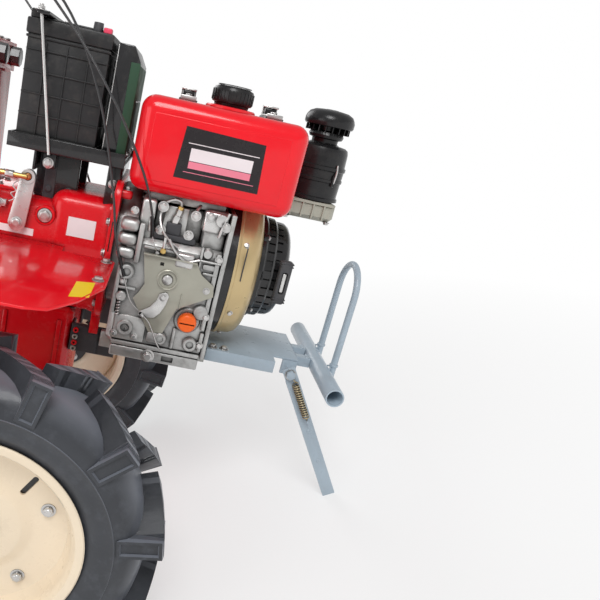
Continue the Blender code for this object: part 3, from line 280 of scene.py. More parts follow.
PINK = Finish("terminal_cap", (0.7, 0.06, 0.12), 0.35, grain=Grain.PLASTIC, dust=0.03, slot="red_paint")
# painted reflection: dark green on the black box's front face, standing for a reflection
GREEN_SHEEN = Finish("painted_green_reflection", (0.018, 0.06, 0.03), 0.62, dust=0.04, slot="black_paint")

SLOT_FINISHES = {
    "red_paint": RED, "cream_paint": CREAM, "grey_paint": BLUE_GREY, "gold_paint": GOLD, "cast_alloy": ALLOY,
    "olive_plate": OLIVE, "orange_plastic": ORANGE, "zinc_steel": ZINC, "black_plastic": BLACK_PLASTIC,
    "black_paint": BLACK, "dark_paint": DARK, "tyre_rubber": RUBBER,
}


def dress_nodes() -> None:
    """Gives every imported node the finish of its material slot."""
    for part in frame["record"]["subparts"]:
        node = frame["nodes"][part["node"]]
        node.data.materials.clear()
        node.data.materials.append(SLOT_FINISHES[part["material_slot"]].material())


# ================================================================ bench


def take(*pieces: Object) -> None:
    """Selects these pieces alone, the first as the active one."""
    bpy.ops.object.select_all(action="DESELECT")
    for piece in pieces:
        piece.select_set(True)
    bpy.context.view_layer.objects.active = pieces[0]


@contextmanager
def editing(piece: Object, mode: str = "VERT") -> Iterator[None]:
    """Opens a piece in edit mode, with what was selected in its mesh still selected."""
    take(piece)
    bpy.context.tool_settings.mesh_select_mode = (mode == "VERT", mode == "EDGE", mode == "FACE")
    bpy.ops.object.mode_set(mode="EDIT")
    yield
    bpy.ops.object.mode_set(mode="OBJECT")


def settle_shape(piece: Object) -> Object:
    """Puts a piece's place, turn and size into its mesh."""
    take(piece)
    bpy.ops.object.transform_apply(location=True, rotation=True, scale=True)
    return piece


def smooth(piece: Object, angle: float = 32.0) -> Object:
    """Shades a piece smooth, apart from edges sharper than the angle in degrees."""
    take(piece)
    bpy.ops.object.shade_smooth_by_angle(angle=radians(angle))
    return piece


def apply_modifier(piece: Object, kind: str, **settings: object) -> Object:
    """Adds a modifier with these settings and applies it."""
    made = piece.modifiers.new(kind.lower(), kind)
    for name, value in settings.items():
        setattr(made, name, value)
    take(piece)
    bpy.ops.object.modifier_apply(modifier=made.name)
    return piece


def bevel(piece: Object, width: float, segments: int = 2, angle: float = 35.0) -> Object:
    """Rounds a piece's edges that are sharper than the angle in degrees."""
    apply_modifier(piece, "BEVEL", width=width, segments=segments, limit_method="ANGLE",
                   angle_limit=radians(angle), use_clamp_overlap=True)
    return smooth(piece)


def carve(piece: Object, *cutters: Object) -> Object:
    """Cuts other shapes out of a piece, and removes them."""
    for cutter in cutters:
        apply_modifier(piece, "BOOLEAN", operation="DIFFERENCE", solver="EXACT", object=cutter)
        bpy.data.objects.remove(cutter, do_unlink=True)
    return piece


def block(low: Point, high: Point, rounding: float = 0.0, segments: int = 2) -> Object:
    """Makes a box between two corners, with rounded edges if asked."""
    low, high = Vector(low), Vector(high)
    bpy.ops.object.select_all(action="DESELECT")
    bpy.ops.mesh.primitive_cube_add(size=1.0, location=(low + high) / 2)
    made = bpy.context.object
    made.scale = high - low
    settle_shape(made)
    return bevel(made, rounding, segments) if rounding else made


def bar(start: Point, end: Point, radius: float, sides: int = 32, end_radius: float | None = None,
        rounding: float = 0.0) -> Object:
    """Makes a round bar or cone from one point to another."""
    start, end = Vector(start), Vector(end)
    along = end - start
    bpy.ops.object.select_all(action="DESELECT")
    bpy.ops.mesh.primitive_cone_add(
        vertices=sides, radius1=radius, radius2=radius if end_radius is None else end_radius,
        depth=along.length, location=(start + end) / 2, rotation=along.to_track_quat("Z", "Y").to_euler(),
    )
    made = settle_shape(bpy.context.object)
    return bevel(made, rounding, 2) if rounding else smooth(made)


def lathe(profile: Sequence[Point], centre: Point, axis: Point, steps: int = 64,
          closed: bool = False) -> Object:
    """Turns a profile about an axis, by spinning an extruded line.

    Args:
        profile: (radius, height along the axis) pairs.
        centre: where height 0 is.
        axis: direction of the axis.
        steps: facets round the turn.
        closed: whether the profile's ends meet, as on a ring.

    Returns:
        The turned piece.
    """
    bpy.ops.object.select_all(action="DESELECT")
    bpy.ops.mesh.primitive_plane_add(size=0.01)
    made = bpy.context.object
    with editing(made):
        bpy.ops.mesh.select_all(action="SELECT")
        bpy.ops.mesh.merge(type="CENTER")
        first = profile[0]
        bpy.ops.transform.translate(value=(first[0], 0.0, first[1]))
        for (r0, h0), (r1, h1) in zip(profile, profile[1:]):
            bpy.ops.mesh.extrude_vertices_move(TRANSFORM_OT_translate={"value": (r1 - r0, 0.0, h1 - h0)})
        if closed:
            bpy.ops.mesh.extrude_vertices_move(
                TRANSFORM_OT_translate={"value": (first[0] - profile[-1][0], 0.0, first[1] - profile[-1][1])})
        bpy.ops.mesh.select_all(action="SELECT")
        bpy.ops.mesh.spin(steps=steps, angle=2 * pi, center=(0, 0, 0), axis=(0, 0, 1))
        bpy.ops.mesh.select_all(action="SELECT")
        bpy.ops.mesh.remove_doubles(threshold=MERGE)
        bpy.ops.mesh.normals_make_consistent(inside=False)
    made.rotation_euler = Vector(axis).to_track_quat("Z", "Y").to_euler()
    made.location = centre
    return smooth(settle_shape(made))


def plate(outline: Sequence[Point], thickness: float, centre: Point = (0, 0, 0), facing: str = "Z",
          rounding: float = 0.0) -> Object:
    """Makes a flat plate from an outline; facing is the axis that it faces.

    Args:
        outline: (u, v) points: X and Y for a plate that faces Z, X and Z for one that faces Y, and
            Y and Z for one that faces X.
        thickness: the plate's thickness, half on each side of the centre.
        centre: where the outline's (0, 0) lies.
        facing: Z, Y or X.
        rounding: radius of the rounded edges.

    Returns:
        The plate.
    """
    line = bpy.data.curves.new("outline", "CURVE")
    line.dimensions, line.fill_mode = "2D", "BOTH"
    line.extrude = thickness / 2
    stroke = line.splines.new("POLY")
    stroke.points.add(len(outline) - 1)
    for point, (u, v) in zip(stroke.points, outline):
        point.co = (u, v, 0.0, 1.0)
    stroke.use_cyclic_u = True
    made = bpy.data.objects.new("plate", line)
    bpy.context.scene.collection.objects.link(made)
    take(made)
    bpy.ops.object.convert(target="MESH")
    with editing(made):
        bpy.ops.mesh.select_all(action="SELECT")
        bpy.ops.mesh.remove_doubles(threshold=MERGE)
        bpy.ops.mesh.normals_make_consistent(inside=False)
    turns = {"Z": (0.0, 0.0, 0.0), "Y": (pi / 2, 0.0, 0.0), "X": (pi / 2, 0.0, pi / 2)}
    made.rotation_euler = turns[facing]
    made.location = centre
    settle_shape(made)
    return bevel(made, rounding, 2) if rounding else smooth(made)


def pipe(route: Sequence[Point], radius: float, sides: int = 4, curved: bool = True,
         per_span: int = 6) -> Object:
    """Makes a round wire or pipe along a route, as a smooth curve through its points if asked."""
    line = bpy.data.curves.new("pipe", "CURVE")
    line.dimensions = "3D"
    line.bevel_depth, line.bevel_resolution, line.use_fill_caps = radius, sides, True
    points = smooth_route(route, per_span) if curved else [Vector(p) for p in route]
    stroke = line.splines.new("POLY")
    stroke.points.add(len(points) - 1)
    for point, place in zip(stroke.points, points):
        point.co = (*place, 1.0)
    made = bpy.data.objects.new("pipe", line)
    bpy.context.scene.collection.objects.link(made)
    take(made)
    bpy.ops.object.convert(target="MESH")
    with editing(made):
        bpy.ops.mesh.select_all(action="SELECT")
        bpy.ops.mesh.remove_doubles(threshold=MERGE)
    return smooth(made, 50.0)


def smooth_route(route: Sequence[Point], per_span: int) -> list[Vector]:
    """Gives the points of a Catmull-Rom curve through a route."""
    points = [Vector(p) for p in route]
    padded = [2 * points[0] - points[1], *points, 2 * points[-1] - points[-2]]
    found = []
    for i in range(1, len(padded) - 2):
        a, b, c, d = padded[i - 1 : i + 3]
        for step in range(per_span):
            t = step / per_span
            found.append(0.5 * (2 * b + (c - a) * t + (2 * a - 5 * b + 4 * c - d) * t**2
                                + (3 * b - a - 3 * c + d) * t**3))
    return [*found, points[-1]]


def arc(u: float, v: float, radius: float, start: float, end: float, steps: int) -> list[Point]:
    """Gives (u, v) points along an arc; the angles are in degrees."""
    angles = [radians(start + (end - start) * i / steps) for i in range(steps + 1)]
    return [(u + radius * cos(a), v + radius * sin(a)) for a in angles]


def traced(node: str, rounding: float, angle: float = 30.0) -> Object:
    """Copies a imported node's shape into the level frame, joined up and with its edges rounded."""
    source = frame["nodes"][node]
    made = bpy.data.objects.new(f"{node}_look", source.data.copy())
    made.data.transform(PARKED.to_level @ source.matrix_world)
    made.data.materials.clear()
    bpy.context.scene.collection.objects.link(made)
    with editing(made):
        bpy.ops.mesh.select_all(action="SELECT")
        bpy.ops.mesh.remove_doubles(threshold=MERGE)
        bpy.ops.mesh.dissolve_limited(angle_limit=radians(1.0))
    return bevel(made, rounding, 2, angle)


def stamp(template: Object, at: Point, axis: Point = (0, 0, 1), spin: float = 0.0) -> Object:
    """Copies a piece that was modelled at the origin along Z, with its own mesh, to a place."""
    made = template.copy()
    made.data = template.data.copy()
    bpy.context.scene.collection.objects.link(made)
    turn = Vector(axis).to_track_quat("Z", "Y").to_matrix().to_4x4()
    made.data.transform(Matrix.Translation(Vector(at)) @ turn @ Matrix.Rotation(spin, 4, "Z"))
    return made


def around(template: Object, count: int, centre: Point, axis: Point) -> list[Object]:
    """Copies a finished piece in a ring about an axis, and removes the first one."""
    found = []
    for i in range(count):
        made = template.copy()
        made.data = template.data.copy()
        bpy.context.scene.collection.objects.link(made)
        turn = Matrix.Rotation(2 * pi * i / count, 4, Vector(axis))
        made.data.transform(Matrix.Translation(Vector(centre)) @ turn @ Matrix.Translation(-Vector(centre)))
        found.append(made)
    bpy.data.objects.remove(template, do_unlink=True)
    return found


def coat(piece: Object, finish: Finish) -> Object:
    """Gives a piece one finish all over."""
    piece.data.materials.clear()
    piece.data.materials.append(finish.material())
    return piece


def assemble(name: str, finish: Finish, pieces: Sequence[Object]) -> Object:
    """Joins pieces into one object, each with its own finish or else with this one.

    Args:
        name: the new object's name.
        finish: for pieces that have none yet, and for the object's slot.
        pieces: what is joined.

    Returns:
        The joined object.
    """
    for piece in pieces:
        if not piece.data.materials:
            coat(piece, finish)
    take(*pieces)
    if len(pieces) > 1:
        bpy.ops.object.join()
    made = pieces[0]
    made.name = made.data.name = name
    return made


def park(piece: Object, body: str, *stands_for: str) -> Object:
    """Lowers a finished piece from the level frame into place, and lets it ride on its body.

    Args:
        piece: the piece, in the level frame.
        body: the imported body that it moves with.
        stands_for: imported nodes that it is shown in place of.

    Returns:
        The piece.
    """
    piece.data.transform(PARKED.to_world)
    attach(piece, body)
    if stands_for:
        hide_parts(*stands_for)
    LOG.info("%s rides on %s, %d faces", piece.name, body, len(piece.data.polygons))
    return piece


# ================================================================ fasteners


@dataclass
class Fasteners:
    """Bolts and washers, each modelled once along Z at the origin and then copied."""

    finish: Finish = ZINC
    made: dict[tuple[str, float], Object] = field(default_factory=dict)

    def _hex(self, size: float) -> Object:
        """Models a hexagon head on its washer; size is the head's radius."""
        washer = bar((0, 0, -SEAT), (0, 0, size * 0.18), size * 1.35, 24, rounding=size * 0.05)
        head = bar((0, 0, size * 0.16), (0, 0, size * 0.85), size, 6, rounding=size * 0.1)
        crown = bar((0, 0, size * 0.8), (0, 0, size * 0.92), size * 0.74, 18, size * 0.62)
        return assemble("hex", self.finish, [head, washer, crown])

    def _socket(self, size: float) -> Object:
        """Models a round head with a hexagon socket; size is the head's radius."""
        head = bar((0, 0, -SEAT), (0, 0, size * 1.1), size, 20, rounding=size * 0.08)
        carve(head, bar((0, 0, size * 0.5), (0, 0, size * 1.3), size * 0.52, 6))
        return assemble("socket", self.finish, [smooth(head)])

    def _nut(self, size: float) -> Object:
        """Models a nut on its washer, with the bolt's end through it; size is the nut's radius."""
        washer = bar((0, 0, -SEAT), (0, 0, size * 0.16), size * 1.4, 24, rounding=size * 0.05)
        nut = bar((0, 0, size * 0.14), (0, 0, size * 0.95), size, 6, rounding=size * 0.1)
        end = bar((0, 0, 0), (0, 0, size * 1.45), size * 0.52, 16, rounding=size * 0.08)
        return assemble("nut", self.finish, [nut, washer, end])

    def fix(self, kind: str, size: float, at: Point, axis: Point, spin: float = 0.0) -> Object:
        """Puts one fastener in place.

        Args:
            kind: hex, socket or nut.
            size: the head's radius.
            at: middle of its foot.
            axis: the way that it stands out.
            spin: turn about its own axis.

        Returns:
            The fastener.
        """
        key = (kind, round(size, 5))
        if key not in self.made:
            template = {"hex": self._hex, "socket": self._socket, "nut": self._nut}[kind](size)
            template.hide_render = True
            self.made[key] = template
        copy = stamp(self.made[key], at, axis, spin)
        copy.hide_render = False
        return copy

    def put_away(self) -> None:
        """Removes the templates."""
        for template in self.made.values():
            bpy.data.objects.remove(template, do_unlink=True)
        self.made.clear()


BOLTS = Fasteners()


def hexagon(size: float, at: Point, axis: Point, spin: float = 0.0) -> Object:
    """Puts one hexagon bolt in place."""
    return BOLTS.fix("hex", size, at, axis, spin)


# ================================================================ wheels


@dataclass
class DriveWheel:
    """One drive wheel: lugged tyre, dished rim and hub. Sizes in metres, along the axle and round it."""

    side: int
    word: str
    tyre_radius: float = 0.286
    half_width: float = 0.065
    bead_radius: float = 0.154
    flange_radius: float = 0.17
    lugs: int = 11
    lug_width: float = 0.03
    first_lug: float = 9.5  # degrees, from forward
    lug_sweep: float = 16.0  # degrees from the shoulder to the middle of the tread
    bolt_circle: float = 0.1123
    first_bolt: float = 22.6
    recess: float = 0.048
    centre: Vector = field(init=False)
    out: Vector = field(init=False)

    def __post_init__(self) -> None:
        """Finds the wheel's middle and the way out along its axle."""
        self.centre = Vector((0.0, self.side * PARKED.half_track, 0.0))
        self.out = Y_AXIS * self.side

    def build(self) -> None:
        """Models the tyre, the rim and the hub."""
        body = f"wheel_{self.word}"
        park(self.tyre(), body, f"tyre_{self.word}")
        park(self.rim(), body, f"rim_{self.word}")
        park(self.hub(), body, f"wheel_hub_{self.word}")

    def section(self) -> list[Point]:
        """Gives the carcass from the middle of the tread to the bead, as (radius, out from the middle)."""
        crown, half = self.tyre_radius - 0.029, self.half_width
        return [(crown + 0.002, 0.0), (crown + 0.001, 0.018), (crown - 0.003, 0.034), (crown - 0.012, 0.048),
                (crown - 0.026, 0.0575), (crown - 0.044, half - 0.0022), (0.2125, half - 0.0006),
                (0.2105, half - 0.0022), (0.196, half - 0.004), (0.184, half - 0.0062), (0.1775, half - 0.01),
                (0.1725, half - 0.012), (self.bead_radius + 0.012, half - 0.0165),
                (self.bead_radius, half - 0.022), (self.bead_radius, half - 0.03)]

    def tyre(self) -> Object:
        """Models the carcass, with a ring of lugs on each shoulder.

        Returns:
            The tyre.
        """
        outer = self.section()
        ring = [(r, w) for r, w in outer] + [(r, -w) for r, w in reversed(outer[1:])]
        carcass = lathe(ring, self.centre, self.out, 132, closed=True)
        pieces = [coat(carcass, RUBBER)]
        step = 360.0 / self.lugs
        for shoulder in (1, -1):
            offset = self.first_lug + (0.0 if shoulder == 1 else step / 2)
            template = self.lug(shoulder, offset)
            pieces += around(template, self.lugs, self.centre, Y_AXIS)
        return assemble(f"lugged_tyre_{self.word}", RUBBER, pieces)

    def lug(self, shoulder: int, offset: float) -> Object:
        """Models one lug in the flat, and wraps it over the tread and down the shoulder.

        Args:
            shoulder: 1 for the outer shoulder, -1 for the inner one.
            offset: degrees from forward at which its end lies.

        Returns:
            The lug.
        """
        # share of the way from the tread's middle to the end face, and half the lug's width there
        stations = [(i / 14, 0.36 + 0.15 * min(1.0, i / 10)) for i in range(15)]
        bpy.ops.object.select_all(action="DESELECT")
        bpy.ops.mesh.primitive_cube_add(size=1.0)
        made = bpy.context.object
        for polygon in made.data.polygons:
            polygon.select = polygon.normal.y > 0.5
        with editing(made, "FACE"):
            for _ in stations[2:]:
                bpy.ops.mesh.extrude_region_move(TRANSFORM_OT_translate={"value": (0.0, 1.0, 0.0)})
        tops = self.crest()
        for vertex in made.data.vertices:
            row = round(vertex.co.y + 0.5)
            share, half = stations[row]
            angle, foot_r, foot_w, top_r, top_w = self.lug_station(share, tops)
            across = (1.0 if vertex.co.x > 0 else -1.0) * half * self.lug_width
            above = vertex.co.z > 0
            r, w = (top_r, top_w) if above else (foot_r, foot_w)
            spread_by = 1.0 if above else 1.28
            turn = radians(offset + angle) + across * spread_by / self.tyre_radius
            out = self.side * shoulder * w
            vertex.co = self.centre + Vector((r * cos(turn), out, r * sin(turn)))
        with editing(made):
            bpy.ops.mesh.select_all(action="SELECT")
            bpy.ops.mesh.normals_make_consistent(inside=False)
        self.recess_end(made, shoulder)
        return coat(bevel(made, 0.0016, 2, 28.0), RUBBER)

    def crest(self) -> list[Point]:
        """Gives (share, radius, out) along a lug's crest, from the middle of the tread to its end face."""
        top, edge = self.tyre_radius, self.half_width
        return [(0.0, top - 0.0004, -0.005), (0.6, top - 0.0004, 0.035), (0.88, top - 0.0006, 0.056),
                (1.0, top - 0.003, edge - 0.0004)]

    def lug_station(self, share: float, tops: Sequence[Point]) -> tuple[float, float, float, float, float]:
        """Works out one cross-section of a lug.

        Args:
            share: how far along the lug, from the middle of the tread.
            tops: the crest.

        Returns:
            Angle from the lug's end in degrees, radius and outward place of its foot, and of its top.
        """
        angle = self.lug_sweep * max(0.0, 1.0 - share / 0.88) ** 1.15
        feet = [(0.0, 0.252, -0.006), (0.6, 0.247, 0.034), (0.88, 0.236, 0.05),
                (1.0, 0.2165, self.half_width - 0.0016)]
        found = [angle]
        for line in (feet, tops):
            for (s0, r0, w0), (s1, r1, w1) in zip(line, line[1:]):
                if share <= s1:
                    t = (share - s0) / (s1 - s0)
                    found += [r0 + (r1 - r0) * t, w0 + (w1 - w0) * t]
                    break
        return tuple(found)

    def recess_end(self, lug: Object, shoulder: int) -> None:
        """Sinks a panel into the lug's end face."""
        out = self.side * shoulder
        for polygon in lug.data.polygons:
            centre = polygon.center
            polygon.select = (polygon.normal.y * out > 0.6 and
                              abs(centre.y - self.centre.y) > self.half_width * 0.9)
        with editing(lug, "FACE"):
            bpy.ops.mesh.inset(thickness=0.0048, depth=0.0)
            bpy.ops.mesh.inset(thickness=0.0016, depth=-0.0038)

    def rim(self) -> Object:
        """Models the rolled rim with its dished disc, valve slot and the bolts that hold the two.

        Returns:
            The rim.
        """
        half = self.half_width - 0.006
        disc = half - self.recess
        r = self.flange_radius
        profile = [
            (0.034, disc + 0.008), (0.066, disc + 0.008), (0.072, disc + 0.006), (0.082, disc + 0.001),
            (0.09, disc), (0.132, disc), (0.138, disc + 0.002), (0.1425, disc + 0.01), (0.1465, disc + 0.022),
            (0.148, half - 0.016), (0.151, half - 0.009), (0.156, half - 0.003), (r - 0.006, half - 0.0006),
            (r - 0.002, half - 0.0002), (r, half - 0.0018), (r - 0.0004, half - 0.0042),
            (r - 0.003, half - 0.005),
            (0.158, half - 0.0105), (0.1535, half - 0.018), (0.153, -half + 0.018), (0.158, -half + 0.0105),
            (r - 0.003, -half + 0.005), (r, -half + 0.002), (r - 0.004, -half), (0.155, -half + 0.004),
            (0.1495, -half + 0.012), (0.149, disc + 0.004), (0.144, disc - 0.002), (0.138, disc - 0.0035),
            (0.09, disc - 0.0035), (0.081, disc - 0.0025), (0.07, disc + 0.0042), (0.034, disc + 0.0042),
        ]
        rim = coat(lathe(profile, self.centre, self.out, 128, closed=True), CREAM)
        self.cut_valve_slot(rim, disc)
        pieces = [smooth(rim), self.valve_shade_sheet(disc)]
        for i in range(5):
            turn = radians(self.first_bolt + 72.0 * i)
            ray = Vector((cos(turn), 0.0, sin(turn)))
            face = self.centre + ray * self.bolt_circle + self.out * disc
            pieces.append(hexagon(0.0085, face, self.out, turn))
            pieces.append(BOLTS.fix("nut", 0.0085, face - self.out * 0.0035, -self.out, turn))
        return assemble(f"dished_rim_{self.word}", CREAM, pieces)

    def cut_valve_slot(self, rim: Object, disc: float) -> None:
        """Cuts the long hole that the valve is reached through."""
        u, v = 0.0698, 0.0794
        slant, half, radius = 58.0, 0.015, 0.0046
        du, dv = half * cos(radians(slant)), half * sin(radians(slant))
        outline = [*arc(u - du, v - dv, radius, slant + 90, slant + 270, 10),
                   *arc(u + du, v + dv, radius, slant - 90, slant + 90, 10)]
        carve(rim, plate(outline, 0.03, self.centre + self.out * disc, "Y"))

    def valve_shade_sheet(self, disc: float) -> Object:
        """Models a black sheet behind the valve's hole, for the wheel's dark inside: painted shade."""
        corners = [(0.05, 0.062), (0.07, 0.052), (0.098, 0.09), (0.078, 0.104)]
        return coat(plate(corners, 0.003, self.centre + self.out * (disc - 0.0052), "Y"), BLACK)

    def hub(self) -> Object:
        """Models the hub with its flange, end cap and shaft.

        Returns:
            The hub.
        """
        low, high = PARKED.span(f"wheel_hub_{self.word}")
        inner = self.centre.y - low.y if self.side > 0 else high.y - self.centre.y
        disc = self.half_width - 0.006 - self.recess
        seat = disc + 0.004
        profile = [(0.0, disc + 0.0235), (0.02, disc + 0.0235), (0.024, disc + 0.0215),
                   (0.0245, disc + 0.017),
                   (0.029, disc + 0.016), (0.03, disc + 0.014), (0.03, seat), (0.066, seat),
                   (0.068, seat - 0.002),
                   (0.068, seat - 0.009), (0.066, seat - 0.011), (0.04, seat - 0.013), (0.034, seat - 0.02),
                   (0.03, seat - 0.026), (0.03, -inner + 0.036), (0.0175, -inner + 0.036),
                   (0.0175, -inner + 0.001), (0.0, -inner + 0.001)]
        pieces = [coat(lathe(profile, self.centre, self.out, 56), DARK)]
        for i in range(6):
            turn = radians(60.0 * i + 12.0)
            ray = Vector((cos(turn), 0.0, sin(turn)))
            face = self.centre + ray * 0.051
            pieces.append(hexagon(0.0075, face + self.out * (seat - 0.0125), -self.out, turn))
        return assemble(f"hub_{self.word}", DARK, pieces)


# ================================================================ engine


@dataclass
class Engine:
    """The single-cylinder engine: crankcase, pump, controls, shroud and recoil starter."""

    near: float = -0.148  # the crankcase's face on the machine's right-hand side
    rear: float = 0.128
    front: float = 0.308
    deck: float = 0.235
    top: float = 0.432
    crank_z: float = 0.385
    shroud_radius: float = 0.138
    shroud_rear: float = 0.316
    shroud_depth: float = 0.058
    recoil_rear: float = 0.3743
    recoil_radius: float = 0.1

    def build(self) -> None:
        """Models the engine from the block outwards."""
        park(self.crankcase(), "chassis", "crankcase")
        park(self.barrel(), "chassis", "cylinder_barrel", "cylinder_head")
        park(self.injection(), "chassis")
        park(self.control_plate(), "chassis", "control_plate")
        park(self.governor_lever(), "chassis", "governor_lever")
        park(self.oil_cap(), "chassis", "oil_filler_cap")
        park(self.shroud(), "chassis", "flywheel_shroud")
        park(self.recoil(), "chassis", "recoil_starter")
        park(self.handle(), "chassis", "recoil_handle")

    def on_face(self, x0: float, z0: float, x1: float, z1: float, rise: float,
                rounding: float = 0.002) -> Object:
        """Makes a pad on the near face, between two (x, z) corners."""
        return block((x0, self.near - rise, z0), (x1, self.near + 0.004, z1), rounding)

    def knob(self, x: float, z: float, radius: float, rise: float, hole: float = 0.0) -> Object:
        """Makes a round boss on the near face, with a hole in its end if asked."""
        profile = [(0.0, rise), (radius - 0.0015, rise), (radius, rise - 0.0015), (radius + 0.0015, 0.0),
                   (radius + 0.002, -0.003), (0.0, -0.003)]
        if hole:
            profile[:2] = [(0.0, rise - 0.004), (hole, rise - 0.004), (hole, rise), (radius - 0.0015, rise)]
        return lathe(profile, (x, self.near, z), -Y_AXIS, 28)

    def crankcase(self) -> Object:
        """Models the block with its cast ribs, pads, bosses, end plate and feet.

        Returns:
            The crankcase.
        """
        core = traced("crankcase", 0.005)
        pieces = [core]
        # rolls over the camshaft and the balancer, at the rear edge of the face
        for z in (0.449, 0.425, 0.401):
            roll = block((0.121, self.near - 0.009, z - 0.0105), (0.153, self.near + 0.03, z + 0.0105),
                         0.0085, 4)
            pieces.append(roll)
        pieces += [
            self.on_face(0.153, 0.388, 0.162, 0.456, 0.007), self.on_face(0.272, 0.39, 0.298, 0.3945, 0.006),
            self.on_face(0.262, 0.412, 0.3, 0.416, 0.008),
            self.on_face(0.262, 0.3945, 0.2665, 0.436, 0.006), self.on_face(0.29, 0.29, 0.298, 0.43, 0.005),
            self.on_face(0.27, 0.398, 0.296, 0.4085, 0.004, 0.003),
            self.on_face(0.166, 0.416, 0.232, 0.4215, 0.007),
            block((0.15, -0.14, 0.428), (0.174, -0.07, 0.496), 0.005, 3),
            block((0.26, -0.133, 0.428), (0.299, -0.07, 0.498), 0.005, 3),
            block((0.174, -0.1, 0.428), (0.26, -0.07, 0.49), 0.004, 3),
            self.on_face(0.13, 0.292, 0.1365, 0.38, 0.006),
            self.on_face(0.14, 0.246, 0.196, 0.292, 0.004, 0.003),
            self.on_face(0.2, 0.252, 0.232, 0.272, 0.01, 0.004),
            self.on_face(0.292, 0.25, 0.299, 0.286, 0.006),
            self.on_face(0.2435, 0.246, 0.249, 0.286, 0.006),
            self.on_face(0.135, 0.338, 0.166, 0.3435, 0.006),
        ]
        # round bosses: x, z, radius, rise, hole
        for spot in ((0.1452, 0.3705, 0.0125, 0.012, 0.0075), (0.1438, 0.326, 0.0085, 0.011, 0.0),
                     (0.264, 0.303, 0.0225, 0.003, 0.0),
                     (0.224, 0.262, 0.0105, 0.011, 0.006), (0.278, 0.26, 0.0125, 0.007, 0.007),
                     (0.16, 0.27, 0.014, 0.008, 0.008), (0.284, 0.322, 0.013, 0.007, 0.0),
                     (0.274, 0.426, 0.008, 0.006, 0.0)):
            pieces.append(self.knob(*spot))
        # end plate towards the flywheel, with its bolts
        rim = block((0.3005, self.near - 0.0035, self.deck + 0.001), (0.3085, 0.123, 0.4995), 0.0015)
        pieces.append(rim)
        for z in (0.262, 0.316, 0.42, 0.478):
            pieces.append(hexagon(0.0052, (0.2945, self.near - 0.004, z), -Y_AXIS, z * 9))
        for x, z in ((0.14, 0.475), (0.295, 0.475), (0.142, 0.255), (0.178, 0.256), (0.142, 0.352)):
            pieces.append(hexagon(0.005, (x, self.near - 0.0035, z), -Y_AXIS, x * 7))
        foot = block((0.118, -0.101, 0.2035), (0.3, -0.0885, self.deck - 0.0006), 0.002)
        slot = block((0.236, -0.1035, 0.2205), (0.258, -0.0985, 0.2285), 0.001)
        carve(foot, slot)
        pieces.append(smooth(foot))
        pieces.append(bar((0.206, -0.1005, 0.219), (0.206, -0.104, 0.219), 0.0165, 32, rounding=0.0008))
        pieces.append(hexagon(0.0105, (0.206, -0.1038, 0.219), -Y_AXIS, 0.2))
        lip = block((0.14, self.near - 0.004, self.deck + 0.0005), (0.298, -0.098, self.deck + 0.0085),
                    0.0015)
        pieces.append(lip)
        for x, y in ((0.15, -0.128), (0.285, -0.128)):
            pieces.append(hexagon(0.0072, (x, y, self.deck + 0.0085), Z_AXIS, x * 5))
        # far side: cover with its bolts
        cover = lathe([(0.0, 0.01), (0.058, 0.01), (0.062, 0.007), (0.063, 0.0), (0.0, 0.0)],
                      (0.218, 0.1195, 0.33), Y_AXIS, 40)
        pieces.append(cover)
        for i in range(6):
            turn = radians(60 * i + 15)
            spot = (0.218 + 0.054 * cos(turn), 0.1295, 0.33 + 0.054 * sin(turn))
            pieces.append(hexagon(0.005, spot, Y_AXIS, turn))
        return assemble("engine_block", ALLOY, pieces)

    def barrel(self) -> Object:
        """Models the finned barrel and head with the rocker cover.

        Returns:
            The barrel and the head.
        """
        core = traced("cylinder_barrel", 0.003)
        pieces = [core, traced("cylinder_head", 0.004)]
        for i in range(7):
            z = 0.436 + i * 0.0098
            pieces.append(block((0.146, -0.068, z), (0.302, 0.124, z + 0.003), 0.001))
        for i in range(6):
            z = 0.508 + i * 0.01
            pieces.append(block((0.146, 0.0415, z), (0.302, 0.1435, z + 0.003), 0.001))
        cover = block((0.16, 0.06, 0.5995), (0.288, 0.132, 0.622), 0.006, 3)
        pieces.append(cover)
        for x, y in ((0.168, 0.068), (0.28, 0.068), (0.168, 0.124), (0.28, 0.124)):
            pieces.append(hexagon(0.0055, (x, y, 0.6215), Z_AXIS, x * 11))
        return assemble("finned_cylinder", ALLOY, pieces)

